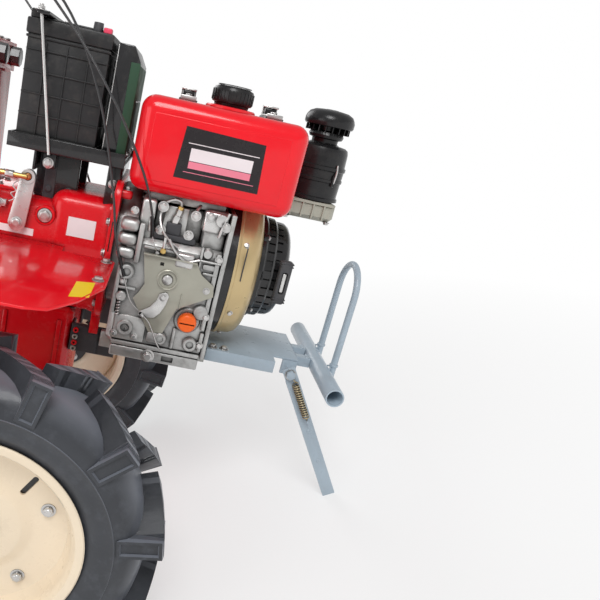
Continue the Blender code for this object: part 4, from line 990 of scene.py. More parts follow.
    def injection(self) -> Object:
        """Models the pump's nuts, its steel pipes and its copper joints.

        Returns:
            The injection gear.
        """
        y = -0.128
        pieces = [
            coat(block((0.176, -0.14, 0.433), (0.25, -0.108, 0.444), 0.003), DARK),
            coat(block((0.196, -0.138, 0.4435), (0.222, -0.11, 0.464), 0.003), DARK),
            bar((0.209, y, 0.4625), (0.212, y, 0.476), 0.0088, 6, rounding=0.0008),
            bar((0.212, y, 0.4755), (0.2145, y, 0.487), 0.0068, 6, rounding=0.0007),
            coat(bar((0.214, y, 0.4865), (0.215, y, 0.4925), 0.0052, 16, rounding=0.0007), BRASS),
            pipe([(0.215, y, 0.492), (0.212, y - 0.004, 0.501), (0.202, y - 0.006, 0.503),
                  (0.19, y - 0.004, 0.496), (0.185, y, 0.486)], 0.0026),
            pipe([(0.185, y - 0.002, 0.487), (0.183, y - 0.006, 0.47), (0.19, y - 0.016, 0.452),
                  (0.205, y - 0.02, 0.436), (0.223, y - 0.022, 0.426)], 0.0022),
            coat(bar((0.185, y - 0.008, 0.488), (0.185, y + 0.01, 0.488), 0.0075, 18, rounding=0.001), BRASS),
            hexagon(0.0068, (0.185, y - 0.008, 0.488), -Y_AXIS),
            coat(bar((0.242, y - 0.006, 0.483), (0.242, y + 0.012, 0.483), 0.007, 18, rounding=0.001), BRASS),
            hexagon(0.0066, (0.242, y - 0.006, 0.483), -Y_AXIS, 0.4),
            pipe([(0.242, y, 0.49), (0.248, y + 0.01, 0.5), (0.256, y + 0.03, 0.505)], 0.003),
            BOLTS.fix("nut", 0.0062, (0.188, -0.139, 0.449), -Y_AXIS, 0.3),
            BOLTS.fix("nut", 0.0062, (0.236, -0.139, 0.449), -Y_AXIS, 0.1),
            block((0.166, -0.142, 0.443), (0.174, -0.112, 0.472), 0.002),
            hexagon(0.006, (0.266, -0.139, 0.487), -Y_AXIS, 0.7),
            block((0.256, -0.139, 0.46), (0.3, -0.1, 0.496), 0.004, 3),
            bar((0.286, -0.139, 0.485), (0.286, -0.146, 0.485), 0.0105, 24, rounding=0.001),
            bar((0.296, -0.144, 0.5), (0.286, -0.144, 0.456), 0.003, 12, rounding=0.0008),
            coat(bar((0.1987, self.near, 0.4185), (0.1987, self.near - 0.014, 0.4185), 0.0052, 6,
                     rounding=0.0006),
                 BRASS),
            bar((0.1987, self.near - 0.011, 0.418), (0.1987, self.near - 0.011, 0.442), 0.0024, 12,
                rounding=0.0005),
            block((0.222, self.near - 0.01, 0.395), (0.254, self.near + 0.002, 0.42), 0.004, 3),
            pipe([(0.205, self.near - 0.01, 0.44), (0.218, self.near - 0.012, 0.423),
                  (0.24, self.near - 0.012, 0.408), (0.262, self.near - 0.01, 0.415)], 0.0024),
        ]
        return assemble("injection_gear", ZINC, pieces)

    def control_plate(self) -> Object:
        """Models the speed-control plate: bent top edge, cut corner, square hole and domed boss.

        Returns:
            The control plate.
        """
        outline = [(0.168, 0.41), (0.26, 0.408), (0.271, 0.39), (0.296, 0.374), (0.299, 0.355),
                   (0.268, 0.337),
                   (0.242, 0.322), (0.226, 0.273), (0.202, 0.27), (0.164, 0.326), (0.172, 0.339),
                   (0.179, 0.355)]
        y = self.near - 0.007
        sheet = plate(outline, 0.003, (0, y, 0), "Y", 0.0005)
        carve(sheet, block((0.1985, y - 0.01, 0.3925), (0.205, y + 0.01, 0.3985)))
        lip = block((0.168, y - 0.0085, 0.4075), (0.26, y + 0.001, 0.41), 0.0007)
        ring = lathe([(0.018, 0.0), (0.018, 0.0035), (0.0168, 0.0042), (0.0152, 0.0035), (0.0145, 0.0)],
                     (0.216, y - 0.0012, 0.3705), -Y_AXIS, 36)
        dome = lathe([(0.0, 0.0062), (0.0045, 0.0056), (0.008, 0.004), (0.0098, 0.0012), (0.01, 0.0),
                      (0.0, 0.0)],
                     (0.216, y - 0.0012, 0.3705), -Y_AXIS, 32)
        pieces = [sheet, lip, coat(ring, OLIVE), coat(dome, ZINC)]
        pieces.append(hexagon(0.0046, (0.285, y - 0.0014, 0.364), -Y_AXIS, 0.3))
        pieces.append(block((0.2445, y - 0.0048, 0.324), (0.2465, y + 0.001, 0.35), 0.0005))
        return assemble("speed_control_plate", OLIVE, pieces)

    def governor_lever(self) -> Object:
        """Models the curved stop lever with its screw and its return wire.

        Returns:
            The lever.
        """
        y = self.near - 0.0112
        outline = [(0.216, 0.348), (0.2075, 0.344), (0.205, 0.332), (0.196, 0.318), (0.179, 0.3065),
                   (0.178, 0.3005), (0.19, 0.2965), (0.206, 0.2995), (0.215, 0.31), (0.2215, 0.326),
                   (0.2245, 0.342), (0.2215, 0.3475)]
        blade = plate(outline, 0.0026, (0, y, 0), "Y", 0.0006)
        pieces = [blade, hexagon(0.005, (0.215, y - 0.0013, 0.339), -Y_AXIS)]
        pieces.append(bar((0.185, y - 0.0012, 0.301), (0.185, y - 0.0065, 0.301), 0.0032, 14,
                          rounding=0.0006))
        pieces.append(pipe([(0.1865, y - 0.0045, 0.301), (0.2001, y - 0.004, 0.2887),
                            (0.2197, y - 0.002, 0.2547),
                            (0.233, y + 0.012, 0.235)], 0.0011, 3))
        spring = [(0.142 + 0.003 * cos(a / 2), self.near - 0.008 + 0.003 * sin(a / 2), 0.29 + a * 0.00042)
                  for a in range(0, 90)]
        pieces.append(pipe(spring, 0.0009, 2, curved=False))
        return assemble("stop_lever", ZINC, pieces)

    def oil_cap(self) -> Object:
        """Models the orange filler cap with its slot and milled edge.

        Returns:
            The cap.
        """
        x, z = 0.264, 0.303
        body = lathe([(0.0, 0.0195), (0.013, 0.0195), (0.0152, 0.0175), (0.016, 0.014), (0.016, 0.0035),
                      (0.015, 0.002), (0.011, 0.0), (0.0, 0.0)], (x, self.near - 0.0035, z), -Y_AXIS, 48)
        carve(body,
              block((x - 0.013, self.near - 0.03, z - 0.0012), (x + 0.013, self.near - 0.0195, z + 0.0012)))
        tooth = block((x - 0.0008, self.near - 0.0175, z + 0.0154),
                      (x + 0.0008, self.near - 0.0065, z + 0.0166), 0.0003)
        return assemble("oil_cap", ORANGE, [smooth(body), *around(tooth, 24, (x, self.near, z), Y_AXIS)])

    def shroud(self) -> Object:
        """Models the pressed flywheel shroud with its flange, a black disc painted as shade in its gap, and its
        bolts.

        Returns:
            The shroud.
        """
        x, r, deep = self.shroud_rear, self.shroud_radius, self.shroud_depth
        # painted shade: a black disc fills the gap between the crankcase and the shroud
        dark = lathe([(0.0, 0.018), (r - 0.003, 0.018), (r - 0.003, 0.0), (0.0, 0.0)],
                     (self.front + 0.001, 0, self.crank_z), X_AXIS, 72)
        drum = lathe([(0.0, deep), (0.09, deep), (r - 0.03, deep - 0.0008), (r - 0.018, deep - 0.0045),
                      (r - 0.009, deep - 0.011), (r - 0.0045, deep - 0.02), (r - 0.0035, deep - 0.03),
                      (r - 0.0025, 0.015), (r - 0.0008, 0.014), (r, 0.0125), (r, 0.009), (0.0, 0.009)],
                     (x, 0, self.crank_z), X_AXIS, 96)
        for piece in (drum, dark):
            carve(piece, block((x - 0.02, -0.2, 0.502), (x + 0.08, 0.2, 0.56)))
        pieces = [smooth(drum), coat(smooth(dark), BLACK)]
        for turn in (-62.0, 152.0, 208.0, 248.0, 20.0):
            a = radians(turn)
            spot = (x + 0.023, (r - 0.004) * cos(a), self.crank_z + (r - 0.004) * sin(a))
            pieces.append(hexagon(0.0044, spot, (0.0, cos(a), sin(a)), turn))
        step = block((x + 0.024, -r + 0.0015, self.crank_z + 0.002),
                     (x + 0.026, -r + 0.0055, self.crank_z + 0.062), 0.0008)
        pieces.append(coat(step, DARK))
        return assemble("shroud", GOLD, pieces)

    def recoil(self) -> Object:
        """Models the stepped recoil starter with its vents and its screws.

        Returns:
            The starter.
        """
        centre = (self.recoil_rear, 0, self.crank_z + 0.005)
        body = lathe([(0.0, 0.056), (0.03, 0.056), (0.032, 0.0578), (0.068, 0.0578), (0.078, 0.0562),
                      (0.086, 0.0515), (0.0905, 0.044), (0.0915, 0.029), (0.094, 0.0265), (0.0955, 0.0245),
                      (0.0965, 0.0105), (0.098, 0.009), (0.0995, 0.007), (0.0995, 0.0004), (0.0, 0.0004)],
                     centre, X_AXIS, 96)
        # rings of vents: start, end, half width, inner and outer radius, count
        for x0, x1, half, inside, outside, count in ((0.012, 0.024, 0.0016, 0.09, 0.105, 36),
                                                     (0.029, 0.039, 0.0022, 0.086, 0.096, 32)):
            slot = block((centre[0] + x0, -half, centre[2] + inside),
                         (centre[0] + x1, half, centre[2] + outside))
            slots = around(slot, count, centre, X_AXIS)
            take(*slots)
            bpy.ops.object.join()
            carve(body, slots[0])
        pieces = [smooth(body)]
        for i in range(4):
            a = radians(45 + 90 * i)
            spot = (centre[0] + 0.0085, centre[1] + 0.0975 * cos(a), centre[2] + 0.0975 * sin(a))
            ear = lathe([(0.0, 0.0), (0.0085, 0.0), (0.0085, 0.008), (0.0, 0.008)],
                        (centre[0] + 0.0006, 0.0965 * cos(a), centre[2] + 0.0965 * sin(a)), X_AXIS, 20)
            pieces += [ear, hexagon(0.0048, spot, X_AXIS, a)]
        return assemble("recoil", BLACK, pieces)

    def handle(self) -> Object:
        """Models the pull handle with its bright rope guide.

        Returns:
            The handle.
        """
        x, y, z = 0.4183, -0.1125, 0.395
        grip = block((x - 0.011, y - 0.0095, z - 0.04), (x + 0.011, y + 0.0095, z + 0.04), 0.006, 4)
        pocket = block((x - 0.005, y - 0.014, z - 0.02), (x + 0.005, y - 0.004, z + 0.02), 0.003, 3)
        carve(grip, pocket)
        insert = block((x - 0.0042, y - 0.008, z - 0.018), (x + 0.0042, y - 0.003, z + 0.018), 0.0026, 3)
        neck = block((x - 0.006, y + 0.007, z - 0.016), (x + 0.006, y + 0.017, z + 0.006), 0.002)
        ribs = [block((x - 0.0116, y - 0.01, z + s), (x + 0.0116, y + 0.01, z + s + 0.0022), 0.0008)
                for s in (-0.036, -0.031, 0.03, 0.035)]
        return assemble("recoil_pull", DARK, [smooth(grip), coat(insert, ZINC), coat(neck, BLACK), *ribs])


# ================================================================ tank and air cleaner


@dataclass
class FuelTank:
    """The pressed tank with its neck, cap, clamps and blank label."""

    low: tuple[float, float, float] = (0.119, -0.156, 0.508)
    high: tuple[float, float, float] = (0.395, 0.03, 0.661)
    corner: float = 0.024
    cap_at: tuple[float, float] = (0.2645, -0.063)

    def build(self) -> None:
        """Models the tank, its cap and its clamps."""
        park(self.shell(), "chassis", "fuel_tank")
        park(self.cap(), "chassis", "tank_cap")
        park(self.clamps(), "chassis", "tank_clamp_front", "tank_clamp_rear")
        park(self.label(), "chassis")

    def shell(self) -> Object:
        """Models the tank's two pressings, with the seam between them and the filler's neck.

        Returns:
            The tank.
        """
        body = block(self.low, self.high, self.corner, 7)
        low, high = Vector(self.low), Vector(self.high)
        smooth(body, 60.0)
        x, y = self.cap_at
        neck = lathe([(0.043, -0.004), (0.043, 0.003), (0.0405, 0.0052), (0.03, 0.006), (0.0, 0.006),
                      (0.0, -0.004)],
                     (x, y, high.z - 0.0006), Z_AXIS, 56)
        drain = bar((low.x + 0.05, y, low.z - 0.005), (low.x + 0.05, y, low.z + 0.006), 0.0075, 20,
                    rounding=0.001)
        pieces = [body, neck, coat(drain, BRASS)]
        step = block((0.143, low.y - 0.0009, 0.529), (0.366, low.y + 0.006, 0.635), 0.0012, 3)
        pieces.append(smooth(step, 60.0))
        for x in (0.191, 0.345):
            pad = block((x - 0.022, -0.052, high.z - 0.002), (x + 0.022, 0.022, high.z + 0.0004), 0.0008)
            pieces.append(pad)
        return assemble("tank_shell", RED, pieces)

    def cap(self) -> Object:
        """Models the filler cap with its grip ribs.

        Returns:
            The cap.
        """
        x, y = self.cap_at
        z = self.high[2] + 0.005
        body = lathe([(0.0, 0.0335), (0.018, 0.0335), (0.026, 0.0325), (0.0325, 0.03), (0.0345, 0.0265),
                      (0.035, 0.022), (0.035, 0.008), (0.0335, 0.0055), (0.03, 0.0045), (0.029, 0.0),
                      (0.0, 0.0)], (x, y, z), Z_AXIS, 64)
        rib = block((x + 0.034, y - 0.0012, z + 0.008), (x + 0.0358, y + 0.0012, z + 0.026), 0.0006)
        band = lathe([(0.029, 0.0335), (0.029, 0.0345), (0.0255, 0.0348), (0.025, 0.0335)], (x, y, z),
                     Z_AXIS, 48)
        return assemble("filler_cap", BLACK_PLASTIC, [body, band, *around(rib, 30, (x, y, z), Z_AXIS)])

    def clamps(self) -> Object:
        """Models the two bent straps with their rubber pads and bolts.

        Returns:
            Both clamps.
        """
        pieces = []
        top = self.high[2] + 0.0004
        for x in (0.191, 0.345):
            pieces += [
                coat(block((x - 0.016, -0.046, top), (x + 0.016, 0.0395, top + 0.0035), 0.001),
                     BLACK_PLASTIC),
                block((x - 0.014, -0.044, top + 0.0034), (x + 0.014, 0.04, top + 0.007), 0.0012),
                coat(block((x - 0.016, 0.0302, 0.598), (x + 0.016, 0.0345, top + 0.003), 0.001),
                     BLACK_PLASTIC),
                block((x - 0.014, 0.0345, 0.586), (x + 0.014, 0.0385, top + 0.022), 0.0012),
                block((x - 0.014, 0.018, top + 0.019), (x + 0.014, 0.0385, top + 0.0225), 0.0012),
                coat(block((x - 0.011, 0.018, top + 0.003), (x + 0.011, 0.035, top + 0.0185), 0.003),
                     BLACK_PLASTIC),
                block((x - 0.014, 0.036, 0.586), (x + 0.014, 0.0436, 0.5915), 0.001),
                block((x - 0.014, -0.0475, top - 0.0002), (x + 0.014, -0.043, top + 0.009), 0.0012),
                hexagon(0.006, (x, -0.026, top + 0.007), Z_AXIS, x),
            ]
        return assemble("tank_straps", ZINC, pieces)

    def label(self) -> Object:
        """Models the blank black label with its pale block.

        Returns:
            The label.
        """
        y = self.low[1] - 0.0011
        face = plate([(0.19, 0.542), (0.33, 0.542), (0.326, 0.62), (0.196, 0.624)], 0.0005, (0, y, 0), "Y")
        pieces = [coat(face, LABEL_BLACK)]
        for (x0, x1, z0, z1), finish in (((0.21, 0.312, 0.572, 0.592), LABEL_PALE),
                                         ((0.21, 0.312, 0.56, 0.571), LABEL_PINK),
                                         ((0.204, 0.32, 0.5985, 0.5998), LABEL_PALE),
                                         ((0.204, 0.32, 0.553, 0.554), LABEL_PINK)):
            strip = plate([(x0, z0), (x1, z0), (x1, z1), (x0, z1)], 0.0003, (0, y - 0.0004, 0), "Y")
            pieces.append(coat(strip, finish))
        return assemble("blank_tank_label", LABEL_BLACK, pieces)


@dataclass
class AirCleaner:
    """The intake: bowl, mushroom pre-cleaner, elbow and clips."""

    x: float = 0.452
    bottom: float = 0.54
    top: float = 0.64

    def build(self) -> None:
        """Models the bowl, the pre-cleaner and the base."""
        park(self.bowl(), "chassis", "air_cleaner")
        park(self.mushroom(), "chassis", "pre_cleaner")
        park(self.base(), "chassis", "air_cleaner_base")

    def bowl(self) -> Object:
        """Models the ribbed bowl with its clip.

        Returns:
            The bowl.
        """
        at = (self.x, 0.0, self.bottom)
        body = lathe([(0.0, 0.0998), (0.03, 0.0998), (0.04, 0.0985), (0.0455, 0.095), (0.0475, 0.088),
                      (0.0485, 0.064), (0.0508, 0.0625), (0.051, 0.057), (0.049, 0.055), (0.0485, 0.042),
                      (0.05, 0.0405), (0.05, 0.036), (0.048, 0.0345), (0.0475, 0.008), (0.05, 0.006),
                      (0.0505, 0.001), (0.0, 0.001)], at, Z_AXIS, 72)
        pieces = [body]
        for turn in (-60.0, 60.0, 180.0):
            a = radians(turn)
            out = Vector((cos(a), sin(a), 0.0))
            foot = Vector(at) + out * 0.049
            pieces.append(coat(pipe([foot + Z_AXIS * 0.03, foot + out * 0.002 + Z_AXIS * 0.04,
                                     foot + out * 0.003 + Z_AXIS * 0.055,
                                     foot + out * 0.0005 + Z_AXIS * 0.068],
                                    0.0018), ZINC))
            catch = block((-0.005, -0.005, 0.0), (0.003, 0.005, 0.02), 0.001)
            catch.data.transform(Matrix.Translation(foot + Z_AXIS * 0.03) @ Matrix.Rotation(a, 4, "Z"))
            pieces.append(catch)
        return assemble("cleaner_bowl", BLACK_PLASTIC, pieces)

    def mushroom(self) -> Object:
        """Models the pre-cleaner: a neck, a vaned gap and a domed cap.

        Returns:
            The pre-cleaner.
        """
        at = (self.x, 0.0, self.top + 0.0003)
        body = lathe([(0.0, 0.059), (0.018, 0.059), (0.03, 0.0575), (0.039, 0.053), (0.043, 0.047),
                      (0.0448, 0.042), (0.0448, 0.034), (0.043, 0.031), (0.04, 0.03), (0.0395, 0.033),
                      (0.025, 0.033), (0.024, 0.023), (0.03, 0.02), (0.032, 0.015), (0.03, 0.01),
                      (0.024, 0.008), (0.0235, 0.002), (0.028, 0.0), (0.0, 0.0)], at, Z_AXIS, 72)
        vane = block((self.x + 0.024, -0.0008, at[2] + 0.02), (self.x + 0.04, 0.0008, at[2] + 0.033))
        knob = bar((self.x, 0, at[2] + 0.057), (self.x, 0, at[2] + 0.0598), 0.012, 24, rounding=0.001)
        return assemble("mushroom_cap", BLACK_PLASTIC, [body, knob, *around(vane, 20, at, Z_AXIS)])

    def base(self) -> Object:
        """Models the cast elbow under the bowl, with ribs and bolts.

        Returns:
            The base.
        """
        pieces = [traced("air_cleaner_base", 0.004)]
        for x in (0.412, 0.432, 0.452, 0.472):
            pieces.append(block((x, -0.0475, 0.507), (x + 0.003, -0.042, 0.537), 0.0008))
        pieces.append(block((0.4, -0.048, 0.5335), (0.492, 0.048, 0.539), 0.0012))
        for x, y in ((0.409, -0.036), (0.486, -0.036), (0.486, 0.036)):
            pieces.append(hexagon(0.0048, (x, y, 0.504), -Z_AXIS, x))
        return assemble("intake_elbow", OLIVE, pieces)


# ================================================================ battery


@dataclass
class Battery:
    """The battery in its tray, with its hold-down, and the box beside it."""

    low: tuple[float, float, float] = (-0.085, -0.1, 0.5353)
    high: tuple[float, float, float] = (0.055, 0.1, 0.735)

    def build(self) -> None:
        """Models the case, the tray, the hold-down, the box and the bracket."""
        park(self.case(), "chassis", "battery")
        park(self.hold_down(), "chassis", "battery_hold_down")
        park(self.box(), "chassis", "control_box")
        park(self.tray(), "chassis", "battery_tray", "battery_bracket")

    def case(self) -> Object:
        """Models the ribbed case with its stepped lid, terminals and vent.

        Returns:
            The battery.
        """
        low, high = Vector(self.low), Vector(self.high)
        lid_low = high.z - 0.024
        body = block((low.x + 0.003, low.y + 0.003, low.z),
                     (high.x - 0.003, high.y - 0.003, lid_low + 0.002), 0.003)
        pieces = [
            body, block((low.x, low.y, lid_low), (high.x, high.y, high.z), 0.003),
            block((low.x + 0.001, low.y + 0.001, lid_low - 0.006),
                  (high.x - 0.001, high.y - 0.001, lid_low - 0.002), 0.001),
            block((low.x + 0.012, low.y + 0.012, high.z - 0.001),
                  (high.x - 0.012, high.y - 0.012, high.z + 0.004), 0.002),
        ]
        foot, head = low.z + 0.006, lid_low - 0.01
        for side in (-1, 1):
            y = side * (high.y - 0.003)
            for i in range(1, 4):
                x = low.x + i * (high.x - low.x) / 4
                pieces.append(block((x - 0.0011, y - 0.0022, foot), (x + 0.0011, y + 0.0022, head), 0.0006))
            for i in range(5):
                z = foot + 0.012 + i * 0.0335
                pieces.append(block((low.x + 0.006, y - 0.0022, z),
                                    (high.x - 0.006, y + 0.0022, z + 0.0022), 0.0006))
        for x in (low.x + 0.003, high.x - 0.003):
            for y in (-0.05, 0.0, 0.05):
                pieces.append(block((x - 0.0012, y - 0.001, foot), (x + 0.0012, y + 0.001, head), 0.0004))
            for i in range(5):
                z = foot + 0.012 + i * 0.0335
                pieces.append(block((x - 0.0012, -0.092, z), (x + 0.0012, 0.092, z + 0.0018), 0.0004))
        pieces += [
            coat(block((-0.082, -0.094, high.z - 0.001), (-0.06, -0.066, high.z + 0.014), 0.003),
                 BLACK_PLASTIC),
            coat(bar((0.026, -0.086, high.z - 0.001), (0.026, -0.086, high.z + 0.014), 0.0085, 28, 0.0078,
                     rounding=0.001), DARK),
            coat(block((0.036, -0.098, high.z - 0.001), (0.05, -0.084, high.z + 0.008), 0.002), PINK),
        ]
        for y in (-0.04, -0.014, 0.012, 0.038):
            pieces.append(coat(bar((-0.015, y, high.z + 0.0035), (-0.015, y, high.z + 0.007), 0.0085, 24,
                                   rounding=0.001), BLACK_PLASTIC))
        return assemble("battery_case", BATTERY_CASE, pieces)

    def hold_down(self) -> Object:
        """Models the bar over the battery, with its hooked rods and their nuts.

        Returns:
            The hold-down.
        """
        top = 0.743
        pieces = [coat(block((-0.067, -0.118, top - 0.0025), (-0.047, 0.118, top + 0.0035), 0.0012), BLACK)]
        for side in (-1, 1):
            y = side * 0.112
            low_end = Vector((-0.02, side * 0.1095, 0.529))
            head = Vector((-0.062, y, top + 0.0045))
            pieces.append(pipe([head + Vector((0, 0, 0.0035)), head, low_end], 0.0027, 5, curved=False))
            pieces.append(BOLTS.fix("nut", 0.0062, head - Vector((0, 0, 0.0012)), Z_AXIS, 0.3))
        return assemble("battery_clamp", ZINC, pieces)

    def box(self) -> Object:
        """Models the electrical box: chamfered front, bright seam edges and small screws.

        Returns:
            The box.
        """
        outline = [(0.064, 0.536), (0.103, 0.536), (0.103, 0.703), (0.09, 0.7265), (0.064, 0.7265)]
        body = plate(outline, 0.19, (0, 0, 0), "Y", 0.0018)
        pieces = [body]
        for y in (-0.0952, 0.0952):
            pieces.append(coat(block((0.0642, y - 0.0007, 0.538), (0.0652, y + 0.0007, 0.724), 0.0002), ZINC))
        # painted reflection: the box's front face and its near edge get the green reflection finish
        strip = block((0.088, -0.0962, 0.54), (0.1036, -0.09, 0.701), 0.0008)
        pieces.append(coat(strip, GREEN_SHEEN))
        front = block((0.1024, -0.09, 0.542), (0.104, 0.09, 0.698), 0.0006)
        pieces.append(coat(front, GREEN_SHEEN))
        for y in (-0.07, 0.0, 0.07):
            pieces.append(hexagon(0.004, (0.1038, y, 0.552), X_AXIS, y * 9))
        for y in (-0.06, -0.02, 0.02, 0.06):
            pieces.append(block((0.103, y - 0.012, 0.64), (0.1052, y + 0.012, 0.643), 0.0006))
        return assemble("electrical_box", BLACK, pieces)

    def tray(self) -> Object:
        """Models the angle-edged tray, its support, its side strap and its bolts.

        Returns:
            The tray.
        """
        pieces = [
            traced("battery_tray", 0.001), traced("battery_bracket", 0.002),
            block((-0.045, -0.106, 0.499), (-0.041, 0.106, 0.532), 0.001),
            block((0.08, -0.09, 0.462), (0.104, 0.09, 0.532), 0.003),
            coat(block((-0.03, -0.064, 0.44), (-0.01, -0.06, 0.525), 0.0015), DARK),
        ]
        pieces.append(hexagon(0.007, (-0.0222, -0.09, 0.5133), -Y_AXIS, 0.4))
        pieces.append(block((-0.034, -0.09, 0.504), (-0.01, -0.06, 0.53), 0.002))
        for x, z in ((-0.02, 0.466), (0.015, 0.466)):
            pieces.append(coat(hexagon(0.006, (x, -0.0622, z), -Y_AXIS, z * 8), DARK))
        pieces.append(hexagon(0.006, (0.092, -0.09, 0.5), -Y_AXIS))
        return assemble("tray_and_support", BLACK, pieces)


# ================================================================ gearbox and clutch


@dataclass
class Gearbox:
    """The gearbox case with its leg, the clutch housing, the axle housings, the cover and the hitch."""

    near: float = -0.095
    top: float = 0.45
    flange_half: float = 0.125
    crank_z: float = 0.385

    def build(self) -> None:
        """Models the castings from the case outwards."""
        park(self.case(), "chassis", "gearbox_case")
        park(self.bell(), "chassis", "clutch_housing")
        for side, word in ((-1, "right"), (1, "left")):
            park(self.axle_housing(side, word), "chassis", f"axle_housing_{word}")
        park(self.pto_cover(), "chassis", "pto_cover")
        park(self.hitch(), "chassis", "rear_hitch", "hitch_pin")
        park(self.linkage(), "chassis", "shift_arm", "shift_rod")
        park(self.gear_lever(), "chassis", "gear_lever")
        park(self.labels(), "chassis")

    def case(self) -> Object:
        """Models the case and its leg, with covers, bosses, plugs and ribs.

        Returns:
            The gearbox.
        """
        core = traced("gearbox_case", 0.003)
        pieces = [core]
        for side in (-1, 1):
            y = side * 0.095
            out = Y_AXIS * side
            for x, z, radius in ((-0.014, 0.424, 0.0175), (-0.15, 0.41, 0.024), (-0.19, 0.31, 0.02)):
                ring = lathe([(0.0, -0.002), (0.0, 0.0012), (radius - 0.005, 0.0012),
                              (radius - 0.004, 0.0026),
                              (radius - 0.001, 0.0024), (radius, 0.001), (radius + 0.001, -0.002)],
                              (x, y, z), out, 36)
                pieces += [ring, hexagon(radius * 0.52, (x, y + side * 0.001, z), out, x * 9)]
            for x, z in ((-0.215, 0.4), (-0.215, 0.28), (-0.105, 0.27), (-0.03, 0.272), (0.012, 0.3)):
                pieces.append(hexagon(0.0062, (x, y, z), out, x * 30))
            low, high = sorted((y - side * 0.01, y + side * 0.0035))
            for x in (-0.06, 0.04):
                pieces.append(block((x - 0.004, low, 0.085), (x + 0.004, high, 0.238), 0.0015))
            pieces.append(hexagon(0.0085, (-0.045, y, 0.05), out, 0.3))
        cover = block((-0.118, -0.066, self.top - 0.002), (-0.053, 0.066, self.top + 0.006), 0.002)
        pieces.append(cover)
        for x in (-0.108, -0.063):
            for y in (-0.054, 0.0, 0.054):
                pieces.append(hexagon(0.0055, (x, y, self.top + 0.006), Z_AXIS, x * y * 90))
        pieces.append(hexagon(0.01, (0.0, 0.0, -0.0845), -Z_AXIS))
        rear = [(-0.08, 0.262), (0.08, 0.262), (0.08, 0.438), (-0.08, 0.438)]
        pieces.append(plate(rear, 0.004, (-0.236, 0, 0), "X", 0.001))
        for y in (-0.07, 0.07):
            for z in (0.272, 0.35, 0.428):
                pieces.append(hexagon(0.0058, (-0.238, y, z), -X_AXIS, z * 8))
        return assemble("gearbox", CAST_RED, pieces)

    def bell(self) -> Object:
        """Models the clutch housing with its square flange, its bolts and its lifting ear.

        Returns:
            The clutch housing.
        """
        body = block((-0.01, -0.0956, 0.26), (0.108, 0.0956, 0.472), 0.026, 6)
        for vertex in body.data.vertices:
            flare = max(0.0, min(1.0, (vertex.co.x - 0.083) / 0.024)) ** 1.4
            vertex.co.y *= 1.0 + 0.2 * flare
            vertex.co.z = self.crank_z + (vertex.co.z - self.crank_z) * (1.0 + 0.1 * flare)
        smooth(body, 60.0)
        half = self.flange_half
        round_off = 0.03
        inset = half - round_off
        outline = []
        for quarter, (y, z) in enumerate(((1, 1), (-1, 1), (-1, -1), (1, -1))):
            outline += arc(y * inset, z * inset, round_off, 90 * quarter, 90 * quarter + 90, 6)
        pieces = [body, plate(outline, 0.012, (0.106, 0.0, self.crank_z), "X", 0.0012)]
        for y, z in ((-inset, -inset), (-inset, inset), (inset, -inset), (inset, inset)):
            spot = (0.1, y * 1.05, self.crank_z + z * 1.05)
            pieces.append(hexagon(0.0072, spot, -X_AXIS, y * z * 40))
        for z in (0.33, 0.385, 0.44):
            for side in (-1, 1):
                pieces.append(hexagon(0.0066, (0.1, side * 0.1185, z), -X_AXIS, z * 5))
        ear = block((0.106, -0.115, 0.483), (0.13, -0.088, 0.498), 0.005, 4)
        pieces += [ear, hexagon(0.006, (0.12, -0.102, 0.498), Z_AXIS, 0.4)]
        # painted shade: a black block stands for the shaded opening of a slit in the flange
        slit_shade = block((0.105, -half - 0.0004, 0.39), (0.1068, -half + 0.004, 0.443))
        pieces.append(coat(slit_shade, BLACK))
        joint = block((0.1118, -half + 0.001, 0.33), (0.1124, half - 0.001, 0.45))
        pieces.append(coat(joint, DARK))
        pieces.append(block((0.095, -0.098, 0.224), (0.112, -0.09, 0.27), 0.002))
        return assemble("clutch_bell", CAST_RED, pieces)

    def axle_housing(self, side: int, word: str) -> Object:
        """Models an axle housing with its bolted flange, its ribs and its seal.

        Args:
            side: -1 for the right, 1 for the left.
            word: the side's word.

        Returns:
            The housing.
        """
        at = (0.0, side * 0.0953, 0.0)
        out = Y_AXIS * side
        body = lathe([(0.019, 0.045), (0.019, 0.0742), (0.033, 0.0742), (0.037, 0.0715), (0.038, 0.066),
                      (0.0365, 0.06), (0.035, 0.024), (0.038, 0.016), (0.044, 0.0122), (0.06, 0.012),
                      (0.0618, 0.01), (0.0618, 0.0), (0.019, 0.0)], at, out, 56, closed=True)
        seal = lathe([(0.0186, 0.07), (0.0186, 0.0748), (0.029, 0.0748), (0.029, 0.07)], at, out, 40,
                     closed=True)
        pieces = [body, coat(seal, BLACK)]
        for i in range(6):
            turn = radians(60 * i + 30)
            spot = Vector(at) + Vector((0.052 * cos(turn), side * 0.012, 0.052 * sin(turn)))
            pieces.append(hexagon(0.0062, spot, out, turn))
        web = plate([(0.034, 0.01), (0.056, 0.01), (0.036, 0.056), (0.034, 0.056)], 0.004, at, "Z")
        if side < 0:
            web.data.transform(Matrix.Translation(at) @ Matrix.Scale(-1.0, 4,
                                                                     Y_AXIS) @ Matrix.Translation(-Vector(at)))
            web.data.flip_normals()
        pieces += around(web, 6, at, Y_AXIS)
        return assemble(f"axle_tube_{word}", CAST_RED, pieces)

